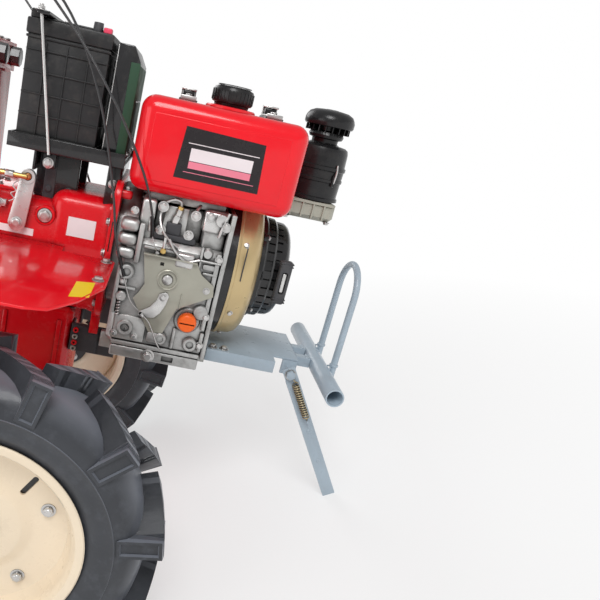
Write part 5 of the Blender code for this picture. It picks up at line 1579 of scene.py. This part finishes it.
    def pto_cover(self) -> Object:
        """Models the bolted cover over the rear drive."""
        at = (-0.2353, 0.0, 0.34)
        body = lathe([(0.0, 0.0255), (0.024, 0.0255), (0.031, 0.024), (0.0345, 0.02), (0.035, 0.014),
                      (0.038, 0.0118), (0.054, 0.0118), (0.056, 0.0098), (0.056, 0.0), (0.0, 0.0)], at,
                      -X_AXIS, 48)
        pieces = [body]
        for i in range(4):
            turn = radians(90 * i + 45)
            spot = (at[0] - 0.0118, 0.0465 * cos(turn), at[2] + 0.0465 * sin(turn))
            pieces.append(hexagon(0.0062, spot, -X_AXIS, turn))
        return assemble("drive_cover", CAST_RED, pieces)

    def hitch(self) -> Object:
        """Models the drawbar bracket with its drop pin, its chain ring and its bolts."""
        pieces = [coat(traced("rear_hitch", 0.0025), BLACK), traced("hitch_pin", 0.0012)]
        for y in (-0.034, 0.034):
            for z in (0.08, 0.15):
                out = Y_AXIS if y > 0 else -Y_AXIS
                pieces.append(hexagon(0.007, (-0.105, y * 1.325, z), out, z * 9))
        loop = [(-0.185 + 0.01 * cos(a / 8 * pi), 0.0, 0.19 + 0.01 * sin(a / 8 * pi)) for a in range(17)]
        pieces.append(pipe(loop, 0.0018, 3, curved=False))
        return assemble("drawbar", ZINC, pieces)

    def linkage(self) -> Object:
        """Models the shift arm with its splined bolt, its ball stud, its clip and its rod.

        Returns:
            The linkage.
        """
        low, top = Vector((-0.058, self.near, 0.405)), Vector((-0.048, self.near, 0.487))
        y = self.near - 0.0122
        outline = [*arc(low.x, low.z, 0.015, -187, -7, 14), *arc(top.x, top.z, 0.0125, -7, 173, 14)]
        arm = plate(outline, 0.006, (0, y, 0), "Y", 0.001)
        pieces = [arm]
        pieces.append(bar((low.x, self.near, low.z), (low.x, y, low.z), 0.0115, 28, rounding=0.001))
        pieces.append(hexagon(0.0075, (low.x, y - 0.003, low.z), -Y_AXIS, 0.2))
        ring = lathe([(0.007, 0.0), (0.007, 0.0045), (0.012, 0.0045), (0.0124, 0.0)],
                     (top.x, y - 0.002, top.z),
                     -Y_AXIS, 32, closed=True)
        ball = lathe([(0.0, 0.0085), (0.003, 0.008), (0.0055, 0.0055), (0.0064, 0.0025), (0.0064, 0.0),
                      (0.0, 0.0)],
                     (top.x, y - 0.0025, top.z), -Y_AXIS, 28)
        pieces += [ring, coat(ball, COPPER)]
        rod_y = -0.1201
        pieces.append(coat(bar((top.x, rod_y, top.z), (-0.229, rod_y, top.z), 0.0042, 24, rounding=0.0006),
                           BRASS))
        for x in (-0.07, -0.206):
            pieces.append(bar((x, rod_y, top.z), (x - 0.014, rod_y, top.z), 0.0066, 6, rounding=0.0006))
        clip = [(-0.061, rod_y - 0.004, 0.48), (-0.068, rod_y - 0.006, 0.47), (-0.062, rod_y - 0.006, 0.462),
                (-0.07, rod_y - 0.005, 0.456), (-0.064, rod_y - 0.005, 0.448), (-0.072, rod_y - 0.004, 0.442)]
        pieces.append(pipe(clip, 0.0011, 3))
        for x, z in ((-0.09, 0.433), (-0.108, 0.462)):
            pieces.append(block((x - 0.016, y - 0.002, z - 0.005), (x + 0.01, self.near + 0.002, z + 0.006),
                                0.0015))
            pieces.append(hexagon(0.0065, (x - 0.004, y - 0.002, z), -Y_AXIS, x * 8))
        return assemble("shift_linkage", ZINC, pieces)

    def gear_lever(self) -> Object:
        """Models the gear lever with its knob and its pivot.

        Returns:
            The lever.
        """
        core = traced("gear_lever", 0.0008)
        low, top = Vector((-0.248, -0.114, 0.562)), Vector((-0.335, -0.115, 0.84))
        along = (top - low).normalized()
        knob = lathe([(0.0, 0.05), (0.008, 0.049), (0.014, 0.045), (0.0165, 0.036), (0.015, 0.024),
                      (0.011, 0.01), (0.0095, -0.002), (0.0, -0.002)], top - along * 0.008, along, 40)
        pieces = [core, coat(knob, BLACK_PLASTIC)]
        pieces.append(hexagon(0.008, (-0.207, -0.115, 0.395), -Y_AXIS, 0.3))
        return assemble("gear_stick", ZINC, pieces)

    def labels(self) -> Object:
        """Models the blank labels of the gearbox."""
        pieces = []
        for x0, x1, z0, z1, y, finish in ((0.027, 0.076, 0.397, 0.431, self.near - 0.001, LABEL_WHITE),
                                          (-0.12, -0.03, 0.383, 0.3955, self.near - 0.0005, LABEL_WHITE)):
            pieces.append(coat(plate([(x0, z0), (x1, z0), (x1, z1), (x0, z1)], 0.0005, (0, y, 0), "Y"),
                               finish))
        return assemble("blank_case_labels", LABEL_WHITE, pieces)


@dataclass
class Fender:
    """One glossy fender plate, with its turned edge, its bolts and its blank label."""

    side: int
    word: str
    z: float = 0.375
    thickness: float = 0.003

    def build(self) -> None:
        """Models the plate."""
        park(self.sheet(), "chassis", f"fender_{self.word}")

    def sheet(self) -> Object:
        """Models the plate with its edge, its stiffening bead and its bolts.

        Returns:
            The fender.
        """
        top = self.z + self.thickness / 2
        pieces = [traced(f"fender_{self.word}", 0.0008)]
        edge = [(-0.165, 0.4322), (-0.06, 0.4322), (0.032, 0.4322), (0.062, 0.423), (0.093, 0.369),
                (0.1205, 0.29), (0.1205, 0.14)]
        line = [Vector((x, self.side * y, self.z)) for x, y in edge]
        pieces.append(pipe(line, 0.0024, 4, curved=False))
        for x, y in ((0.108, 0.148), (0.108, 0.26), (-0.16, 0.112)):
            pieces.append(hexagon(0.0072, (x, self.side * y, top), Z_AXIS, x * 12))
        for x in (-0.12, 0.0):
            low, high = sorted((self.side * 0.099, self.side * 0.39))
            pieces.append(block((x, low, self.z - 0.02), (x + 0.003, high, self.z - 0.001), 0.0008))
        if self.side < 0:
            mark = plate([(0.079, -0.36), (0.106, -0.348), (0.106, -0.276), (0.079, -0.286)], 0.0005,
                         (0, 0, top + 0.0002), "Z")
            pieces.append(coat(mark, LABEL_YELLOW))
        return assemble(f"fender_plate_{self.word}", RED, pieces)


# ================================================================ frame, bumper and stand


@dataclass
class FrontFrame:
    """Rails, front plate, bumper with its hoop, and the folding stand."""

    splay: float = 31.0  # the stand's lean forward, in degrees
    bumper: tuple[float, float] = (0.55, 0.222)
    pivot: tuple[float, float] = (0.487, 0.2137)
    leg_y: float = -0.086

    def build(self) -> None:
        """Models the rails, the plate, the bumper and the stand."""
        for side, word in ((-1, "right"), (1, "left")):
            park(self.rail(side, word), "chassis", f"frame_rail_{word}")
        park(self.front_plate(), "chassis", "front_plate", "stand_bracket")
        park(self.bumper_bar(), "chassis", "bumper_tube")
        park(self.hoop(), "chassis", "bumper_hoop")
        park(self.leg(), "stand", "stand_leg")
        park(self.spring(), "stand", "stand_spring")

    def rail(self, side: int, word: str) -> Object:
        """Models a rail with its mounting plate and its column of bolts."""
        beam = traced(f"frame_rail_{word}", 0.001)
        carve(beam, block((0.148, -0.2, 0.17), (0.33, 0.2, 0.206)))
        pieces = [beam]
        y = side * 0.088
        out = Y_AXIS * side
        low, high = sorted((y, y + side * 0.0035))
        pieces.append(block((0.063, low, 0.182), (0.114, high, 0.233), 0.001))
        for i, (z, finish) in enumerate(((0.224, CAST_RED), (0.211, None), (0.199, CAST_RED), (0.188, None))):
            bolt = BOLTS.fix("socket", 0.0052, (0.072, y + side * 0.0035, z), out, i)
            pieces.append(coat(bolt, finish) if finish else bolt)
        bright = block((0.148, low, 0.207), (0.317, high, 0.2342), 0.0008)
        pieces.append(coat(bright, BED_GREY))
        foot_low, foot_high = sorted((side * 0.0915, side * 0.15))
        foot = block((0.14, foot_low, 0.2125), (0.2995, foot_high, 0.2335), 0.003, 3)
        carve(foot, block((0.234, side * 0.15 - 0.006, 0.218), (0.255, side * 0.15 + 0.006, 0.228)))
        pieces.append(coat(foot, ALLOY))
        pieces.append(hexagon(0.009, (0.2094, side * 0.15, 0.224), out, 0.4))
        return assemble(f"rail_{word}", DARK, pieces)

    def front_plate(self) -> Object:
        """Models the plate with its flanges, its stand ear and its bolts."""
        pieces = [traced("front_plate", 0.001), traced("stand_bracket", 0.0008)]
        for x in (0.33, 0.352):
            for y in (-0.074, 0.074):
                pieces.append(hexagon(0.0068, (x, y, 0.2347), Z_AXIS, x * 7))
        for side in (-1, 1):
            seam = [(0.527, side * y, 0.233) for y in (0.0165, 0.023, 0.029, 0.0355)]
            pieces.append(pipe(seam, 0.0028, 3))
        return assemble("deck_plate", BLUE_GREY, pieces)

    def bumper_bar(self) -> Object:
        """Models the open tube with rolled ends and weld beads."""
        x, z = self.bumper
        tube = lathe([(0.017, 0.1765), (0.0165, 0.1778), (0.0145, 0.1778), (0.014, 0.1765), (0.014, -0.1765),
                      (0.0145, -0.1778), (0.0165, -0.1778), (0.017, -0.1765)], (x, 0, z), Y_AXIS, 56,
                      closed=True)
        pieces = [tube]
        for side in (-1, 1):
            bead = [(x + 0.0145 + 0.0025 * cos(a), side * 0.055 + 0.0085 * sin(a),
                     z + 0.0095 + 0.003 * cos(a))
                    for a in (i * pi / 6 for i in range(13))]
            pieces.append(pipe(bead, 0.0016, 3, curved=False))
        return assemble("bumper_pipe", BLUE_GREY, pieces)

    def hoop(self) -> Object:
        """Models the bent rod of the hoop."""
        x = 0.5738
        crown = arc(0.0, 0.375, 0.055, 0.0, 180.0, 24)
        route = [(0.055, 0.213), *crown, (-0.055, 0.213)]
        made = pipe([(x, y, z) for y, z in route], 0.0065, 8, curved=False)
        collars = [lathe([(0.0068, 0.0), (0.0085, 0.0015), (0.0085, 0.0045), (0.0068, 0.006)],
                         (x, y, 0.235), Z_AXIS, 24)
                   for y in (-0.055, 0.055)]
        return assemble("hoop_rod", BLUE_GREY, [made, *collars])

    def down(self, across: float, along: float, y: float) -> Vector:
        """Gives a point on the stand, from its distances across and down the leg from the pivot."""
        lean = radians(self.splay)
        return Vector((self.pivot[0] + across * cos(lean) + along * sin(lean), y,
                       self.pivot[1] + across * sin(lean) - along * cos(lean)))

    def leg(self) -> Object:
        """Models the angle-iron leg with its pivot washer, its peg and its welded foot edge."""
        pieces = [traced("stand_leg", 0.0006)]
        axis = self.down(0.0, 0.0, self.leg_y)
        washer = lathe([(0.006, 0.0), (0.006, 0.0012), (0.011, 0.0012), (0.0112, 0.0)], axis, -Y_AXIS, 28,
                       closed=True)
        pieces.append(coat(washer, ZINC))
        for along in (0.13, 0.2):
            spot = self.down(0.0, along, self.leg_y)
            pieces.append(lathe([(0.0, 0.0012), (0.003, 0.001), (0.0042, 0.0), (0.0, -0.0004)], spot,
                                -Y_AXIS, 20))
        return assemble("stand_angle", BLUE_GREY, pieces)

    def spring(self) -> Object:
        """Models the return spring: close coils between two hooks."""
        y, turns, radius = self.leg_y - 0.0072, 15, 0.0058
        top, bottom = 0.018, 0.094
        route = [self.down(0.003, 0.005, y + 0.002), self.down(0.003, 0.012, y),
                 self.down(0.003 + radius, top, y)]
        steps = turns * 14
        for i in range(steps + 1):
            turn = 2 * pi * turns * i / steps
            route.append(self.down(0.003 + radius * cos(turn), top + (bottom - top) * i / steps,
                                   y + radius * sin(turn)))
        route += [self.down(0.003, bottom + 0.004, y), self.down(0.003, bottom + 0.0095, y + 0.002)]
        return assemble("return_spring", SPRING_BRASS, [pipe(route, 0.0013, 3, curved=False)])


# ================================================================ muffler and handlebars


@dataclass
class Muffler:
    """The exhaust box with its port, its outlet and its perforated guard."""

    start: float = 0.178
    length: float = 0.19
    radius: float = 0.05
    y: float = 0.21
    z: float = 0.545

    def build(self) -> None:
        """Models the muffler."""
        park(self.shell(), "chassis", "muffler")

    def shell(self) -> Object:
        """Models the can with its seams, and the guard that is riveted round it."""
        at = (self.start, self.y, self.z)
        r, end = self.radius, self.length
        pieces = [coat(traced("muffler", 0.0015), BLACK)]
        for x in (0.006, end - 0.01):
            pieces.append(lathe([(r - 0.001, x), (r + 0.0022, x + 0.0008), (r + 0.0022, x + 0.0036),
                                 (r - 0.001, x + 0.0044)],
                                at, X_AXIS, 56))
        strip = block((self.start + 0.02, self.y - 0.0035, self.z + r - 0.0005),
                      (self.start + end - 0.02, self.y + 0.0035, self.z + r + 0.003), 0.0008)
        pieces += around(strip, 18, at, X_AXIS)
        for x in (0.022, end / 2, end - 0.024):
            pieces.append(lathe([(r + 0.002, x), (r + 0.004, x + 0.0005), (r + 0.004, x + 0.0045),
                                 (r + 0.002, x + 0.005)],
                                at, X_AXIS, 56))
        for x in (0.228, 0.253):
            for z in (-0.016, 0.016):
                out = Z_AXIS if z > 0 else -Z_AXIS
                pieces.append(hexagon(0.005, (x, 0.148, self.z + z * 1.55), out, x))
        return assemble("exhaust_box", BLACK, pieces)


@dataclass
class Handlebars:
    """The column with its clamp, the two bars, the grips, the hand levers, the console and the cables."""

    spread: float = 0.3
    reach: float = -0.96
    height: float = 0.8
    grip_length: float = 0.125
    grip_radius: float = 0.0205
    column_x: float = -0.165
    column_top: float = 0.65

    def build(self) -> None:
        """Models the steering gear."""
        park(self.column(), "chassis", "handlebar_column")
        park(self.console(), "chassis", "switch_console")
        for side, word in ((-1, "right"), (1, "left")):
            park(self.bar(side, word), "chassis", f"handlebar_{word}")
            park(self.grip(side, word), "chassis", f"grip_{word}")
        park(self.hand_lever(-1, "throttle_lever"), "chassis", "throttle_lever")
        park(self.hand_lever(1, "clutch_lever"), "chassis", "clutch_lever")
        self.cables()

    def column(self) -> Object:
        """Models the column with its foot bolts and its clamp bolts."""
        pieces = [traced("handlebar_column", 0.0015)]
        for x in (-0.208, -0.134):
            for y in (-0.056, 0.056):
                pieces.append(hexagon(0.0068, (x, y, 0.46), Z_AXIS, x * y * 80))
        top = self.column_top + 0.045
        for x in (-0.2, -0.155):
            for y in (-0.062, -0.016, 0.016, 0.062):
                pieces.append(hexagon(0.0068, (x, y, top), Z_AXIS, x * 7 + y))
        for side in (-1, 1):
            y = side * 0.045
            low, high = sorted((y, y + side * 0.003))
            pieces.append(block((-0.181, low, 0.5), (-0.149, high, 0.62), 0.001))
            for z in (0.512, 0.608):
                pieces.append(hexagon(0.0055, (-0.165, y + side * 0.003, z), Y_AXIS * side, z))
        return assemble("steering_column", RED, pieces)

    def console(self) -> Object:
        """Models the switch box with a rocker, a key switch and a lamp, all blank."""
        pieces = [traced("switch_console", 0.002)]
        face = -0.257
        pieces += [
            coat(block((face - 0.004, -0.022, 0.578), (face + 0.001, -0.006, 0.602), 0.0015), RED),
            coat(lathe([(0.0, 0.006), (0.0075, 0.006), (0.0085, 0.0045), (0.0095, 0.0), (0.0, 0.0)],
                       (face, 0.012, 0.59), -X_AXIS, 28), ZINC),
            coat(lathe([(0.0, 0.005), (0.0035, 0.004), (0.005, 0.0), (0.0, 0.0)], (face, -0.014, 0.552),
                       -X_AXIS, 24),
                 ORANGE),
            block((face - 0.0075, 0.011, 0.583), (face - 0.005, 0.013, 0.597), 0.0005),
            coat(lathe([(0.0, 0.005), (0.005, 0.005), (0.006, 0.0), (0.0, 0.0)], (face, 0.012, 0.552),
                       -X_AXIS, 24),
                 DARK),
        ]
        for y in (-0.027, 0.027):
            for z in (0.527, 0.609):
                pieces.append(BOLTS.fix("socket", 0.0026, (face, y, z), -X_AXIS))
        return assemble("switch_box", BLACK_PLASTIC, pieces)

    def bar(self, side: int, word: str) -> Object:
        """Models one bar with its end plug and its cable ties."""
        pieces = [traced(f"handlebar_{word}", 0.0004, 60.0)]
        y = side * self.spread
        for x, radius, width in ((-0.775, 0.0178, 0.0042), (-0.79, 0.0176, 0.0032)):
            band = lathe([(0.0166, 0.0), (radius, 0.0006), (radius, width - 0.0006), (0.0166, width)],
                         (x, y, self.height), X_AXIS, 32)
            pieces.append(coat(band, BLACK_PLASTIC))
        return assemble(f"steering_bar_{word}", BLACK, pieces)

    def grip(self, side: int, word: str) -> Object:
        """Models a rubber grip with rings, a guard collar and a closed end."""
        r, length = self.grip_radius, self.grip_length
        profile = [(r - 0.0035, 0.0), (r + 0.0055, 0.0), (r + 0.0058, -0.003), (r + 0.004, -0.0055),
                   (r, -0.0085)]
        start = -0.012
        for i in range(13):
            h = start - i * 0.0082
            profile += [(r, h), (r, h - 0.0046), (r - 0.0016, h - 0.0054), (r - 0.0016, h - 0.0074)]
        profile += [(r - 0.0002, -length + 0.004), (r - 0.0025, -length - 0.0015), (0.0172, -length - 0.0018),
                    (0.0172, -0.0002)]
        made = lathe(profile, (self.reach + length, side * self.spread, self.height), X_AXIS, 40, closed=True)
        nib = block((self.reach + 0.02, -0.001, r - 0.0008), (self.reach + length - 0.02, 0.001, r + 0.001),
                    0.0004)
        nib.data.transform(Matrix.Translation((0, side * self.spread, self.height)))
        nibs = around(nib, 6, (0, side * self.spread, self.height), X_AXIS)
        return assemble(f"rubber_grip_{word}", BLACK_PLASTIC, [made, *nibs])

    def hand_lever(self, side: int, node: str) -> Object:
        """Models a hand lever: split clamp, blade with a rounded end, pivot screw and cable screws."""
        x = self.reach + self.grip_length + 0.022
        y, z = side * self.spread, self.height
        pieces = [traced(node, 0.0018)]
        pieces.append(hexagon(0.0055, (x, y + side * 0.023, z - 0.022), Y_AXIS * side, 0.3))
        pieces.append(BOLTS.fix("nut", 0.005, (x, y - side * 0.023, z - 0.022), -Y_AXIS * side, 0.1))
        for offset in ((-0.01, 0.01) if side < 0 else (0.0,)):
            start = Vector((x + 0.0105, y + offset, z + 0.027))
            pieces.append(bar(start, start + X_AXIS * 0.012, 0.005, 6, rounding=0.0005))
            pieces.append(bar(start + X_AXIS * 0.0118, start + X_AXIS * 0.02, 0.0042, 20, rounding=0.0006))
        length = 0.11 if side > 0 else 0.045
        pad = block((x - length + 0.004, y - 0.007, z - 0.0305), (x - 0.014, y + 0.007, z - 0.0292), 0.0006)
        pieces.append(coat(pad, BLACK_PLASTIC))
        return assemble(f"{node}_look", BLACK, pieces)

    def cables(self) -> None:
        """Models the three sheathed cables with their end sleeves and bare wires."""
        start_x, start_z = -0.8017, 0.827
        routes = {
            "throttle_cable": [(start_x, -0.31, start_z), (start_x + 0.06, -0.308, start_z + 0.004),
                               (-0.56, -0.27, 0.88), (-0.33, -0.195, 0.915), (-0.16, -0.15, 0.86),
                               (-0.02, -0.142, 0.745), (0.075, -0.16, 0.64), (0.14, -0.172, 0.545),
                               (0.168, -0.166, 0.48), (0.176, -0.158, 0.44)],
            "stop_cable": [(start_x, -0.29, start_z), (start_x + 0.06, -0.288, start_z + 0.004),
                           (-0.56, -0.238, 0.868), (-0.33, -0.172, 0.89), (-0.14, -0.134, 0.838),
                           (-0.025, -0.125, 0.762), (0.05, -0.138, 0.64), (0.098, -0.148, 0.5),
                           (0.118, -0.156, 0.42), (0.142, -0.158, 0.362)],
            "clutch_cable": [(start_x, 0.3, start_z), (start_x + 0.06, 0.296, start_z + 0.004),
                             (-0.56, 0.255, 0.868), (-0.33, 0.18, 0.88), (-0.15, 0.135, 0.78),
                             (-0.06, 0.128, 0.64), (0.01, 0.128, 0.5), (0.05, 0.128, 0.42)],
        }
        tails = {"throttle_cable": [(0.176, -0.158, 0.44), (0.184, -0.156, 0.422), (0.19, -0.154, 0.412)],
                 "stop_cable": [(0.142, -0.158, 0.362), (0.16, -0.158, 0.322), (0.182, -0.157, 0.303)],
                 "clutch_cable": [(0.05, 0.128, 0.42), (0.054, 0.124, 0.4), (0.056, 0.11, 0.385)]}
        for node, route in routes.items():
            end, before = Vector(route[-1]), Vector(route[-2])
            back = (before - end).normalized()
            pieces = [
                pipe(route, 0.0021, 4, per_span=8),
                coat(bar(end - back * 0.0008, end + back * 0.034, 0.0033, 20, rounding=0.0008),
                     BLACK_PLASTIC),
                coat(pipe(tails[node], 0.0009, 3), ZINC),
                coat(bar(Vector(tails[node][-1]) + Vector((0, -0.0035, 0)),
                         Vector(tails[node][-1]) + Vector((0, 0.0035, 0)),
                         0.0034, 16, rounding=0.0005), ZINC),
            ]
            park(assemble(f"{node}_look", CABLE, pieces), "chassis", node)


# ================================================================ studio


@dataclass
class Studio:
    """Pale floor and backdrop, soft lamps, and the camera at the machine's right-hand side."""

    floor_size: float = 40.0
    floor_colour: tuple[float, float, float] = (0.92, 0.92, 0.92)
    fade: tuple[float, float] = (0.7, 1.6)  # distances between which the floor turns plain white
    focal_px: float = 619.09
    image_px: float = 600.0
    shift: float = 0.2
    eye: tuple[float, float, float] = (0.17317, -1.17007, 0.65518)
    # right, down and ahead, in the level frame
    turn: tuple[tuple[float, float, float], ...] = (
        (0.978533, -0.004452, 0.206044), (0.194957, -0.30418, -0.932452), (0.066826, 0.952604, -0.296782),
    )

    def build(self) -> None:
        """Makes the floor, the lights and the camera."""
        self.floor()
        self.lights()
        self.camera()

    def floor(self) -> None:
        """Lays the pale floor, which the camera sees as white and which keeps the shadow."""
        bpy.ops.object.select_all(action="DESELECT")
        bpy.ops.mesh.primitive_plane_add(size=self.floor_size)
        made = bpy.context.object
        made.name = "studio_floor"
        pale = bpy.data.materials.new("studio_pale")
        pale.use_nodes = True
        tree = pale.node_tree
        shader = tree.nodes["Principled BSDF"]
        shader.inputs["Base Color"].default_value = (*self.floor_colour, 1.0)
        shader.inputs["Roughness"].default_value = 0.9
        reach = tree.nodes.new("ShaderNodeVectorMath")
        reach.operation = "LENGTH"
        tree.links.new(tree.nodes.new("ShaderNodeTexCoord").outputs["Object"], reach.inputs[0])
        white = tree.nodes.new("ShaderNodeEmission")
        fade = tree.nodes.new("ShaderNodeMixShader")
        tree.links.new(spread(tree, reach.outputs["Value"], self.fade, (0.55, 1.0)), fade.inputs[0])
        tree.links.new(shader.outputs[0], fade.inputs[1])
        tree.links.new(white.outputs[0], fade.inputs[2])
        tree.links.new(fade.outputs[0], tree.nodes["Material Output"].inputs["Surface"])
        made.data.materials.append(pale)

    def lights(self) -> None:
        """Hangs a key, a fill and a back lamp, and sets a white world."""
        world = bpy.data.worlds.new("studio")
        bpy.context.scene.world = world
        world.use_nodes = True
        tree = world.node_tree
        tree.nodes.clear()
        path = tree.nodes.new("ShaderNodeLightPath")
        dim, bright = (tree.nodes.new("ShaderNodeBackground") for _ in range(2))
        dim.inputs["Color"].default_value = bright.inputs["Color"].default_value = (1, 1, 1, 1)
        dim.inputs["Strength"].default_value = 0.36
        bright.inputs["Strength"].default_value = 1.0
        mirrored_share = tree.nodes.new("ShaderNodeMath")
        mirrored_share.operation = "MULTIPLY"
        mirrored_share.inputs[1].default_value = 0.3
        tree.links.new(path.outputs["Is Glossy Ray"], mirrored_share.inputs[0])
        either = tree.nodes.new("ShaderNodeMath")
        either.operation = "MAXIMUM"
        tree.links.new(path.outputs["Is Camera Ray"], either.inputs[0])
        tree.links.new(mirrored_share.outputs[0], either.inputs[1])
        choose = tree.nodes.new("ShaderNodeMixShader")
        tree.links.new(either.outputs[0], choose.inputs[0])
        tree.links.new(dim.outputs[0], choose.inputs[1])
        tree.links.new(bright.outputs[0], choose.inputs[2])
        out = tree.nodes.new("ShaderNodeOutputWorld")
        tree.links.new(choose.outputs[0], out.inputs["Surface"])
        # name, place, size, watts
        lamps = (("key", (0.9, -2.4, 3.2), 1.5, 74.0), ("fill", (-2.4, -2.2, 1.8), 2.2, 26.0),
                 ("back", (-1.0, 2.8, 2.6), 2.2, 40.0))
        target = Vector((0.0, 0.0, 0.6))
        for name, place, size, watts in lamps:
            lamp = bpy.data.lights.new(name, "AREA")
            lamp.energy, lamp.size = watts, size
            made = bpy.data.objects.new(name, lamp)
            made.location = place
            made.rotation_euler = (target - Vector(place)).to_track_quat("-Z", "Y").to_euler()
            bpy.context.scene.collection.objects.link(made)

    def camera(self) -> None:
        """Sets the camera: its place and turn are given in the level frame."""
        data = bpy.data.cameras.new("camera")
        data.sensor_width = 36.0
        data.lens = self.focal_px / self.image_px * data.sensor_width
        data.shift_x = self.shift
        data.clip_start = 0.02
        made = bpy.data.objects.new("camera", data)
        bpy.context.scene.collection.objects.link(made)
        right, down, ahead = (Vector(axis) for axis in self.turn)
        pose = Matrix((right, -down, -ahead)).transposed().to_4x4()
        made.matrix_world = PARKED.to_world @ Matrix.Translation(Vector(self.eye)) @ pose
        bpy.context.scene.camera = made
        bpy.context.scene.view_settings.view_transform = "Standard"


def main() -> None:
    """Builds every sub-assembly in order, then the studio."""
    logging.basicConfig(level=logging.INFO, format="%(name)s: %(message)s")
    dress_nodes()
    for side, word in ((-1, "right"), (1, "left")):
        DriveWheel(side, word).build()
        Fender(side, word).build()
    for assembly in (Gearbox(), FrontFrame(), Engine(), FuelTank(), AirCleaner(), Muffler(), Battery(),
                     Handlebars()):
        assembly.build()
    BOLTS.put_away()
    Studio().build()


if __name__ == "__main__":
    main()
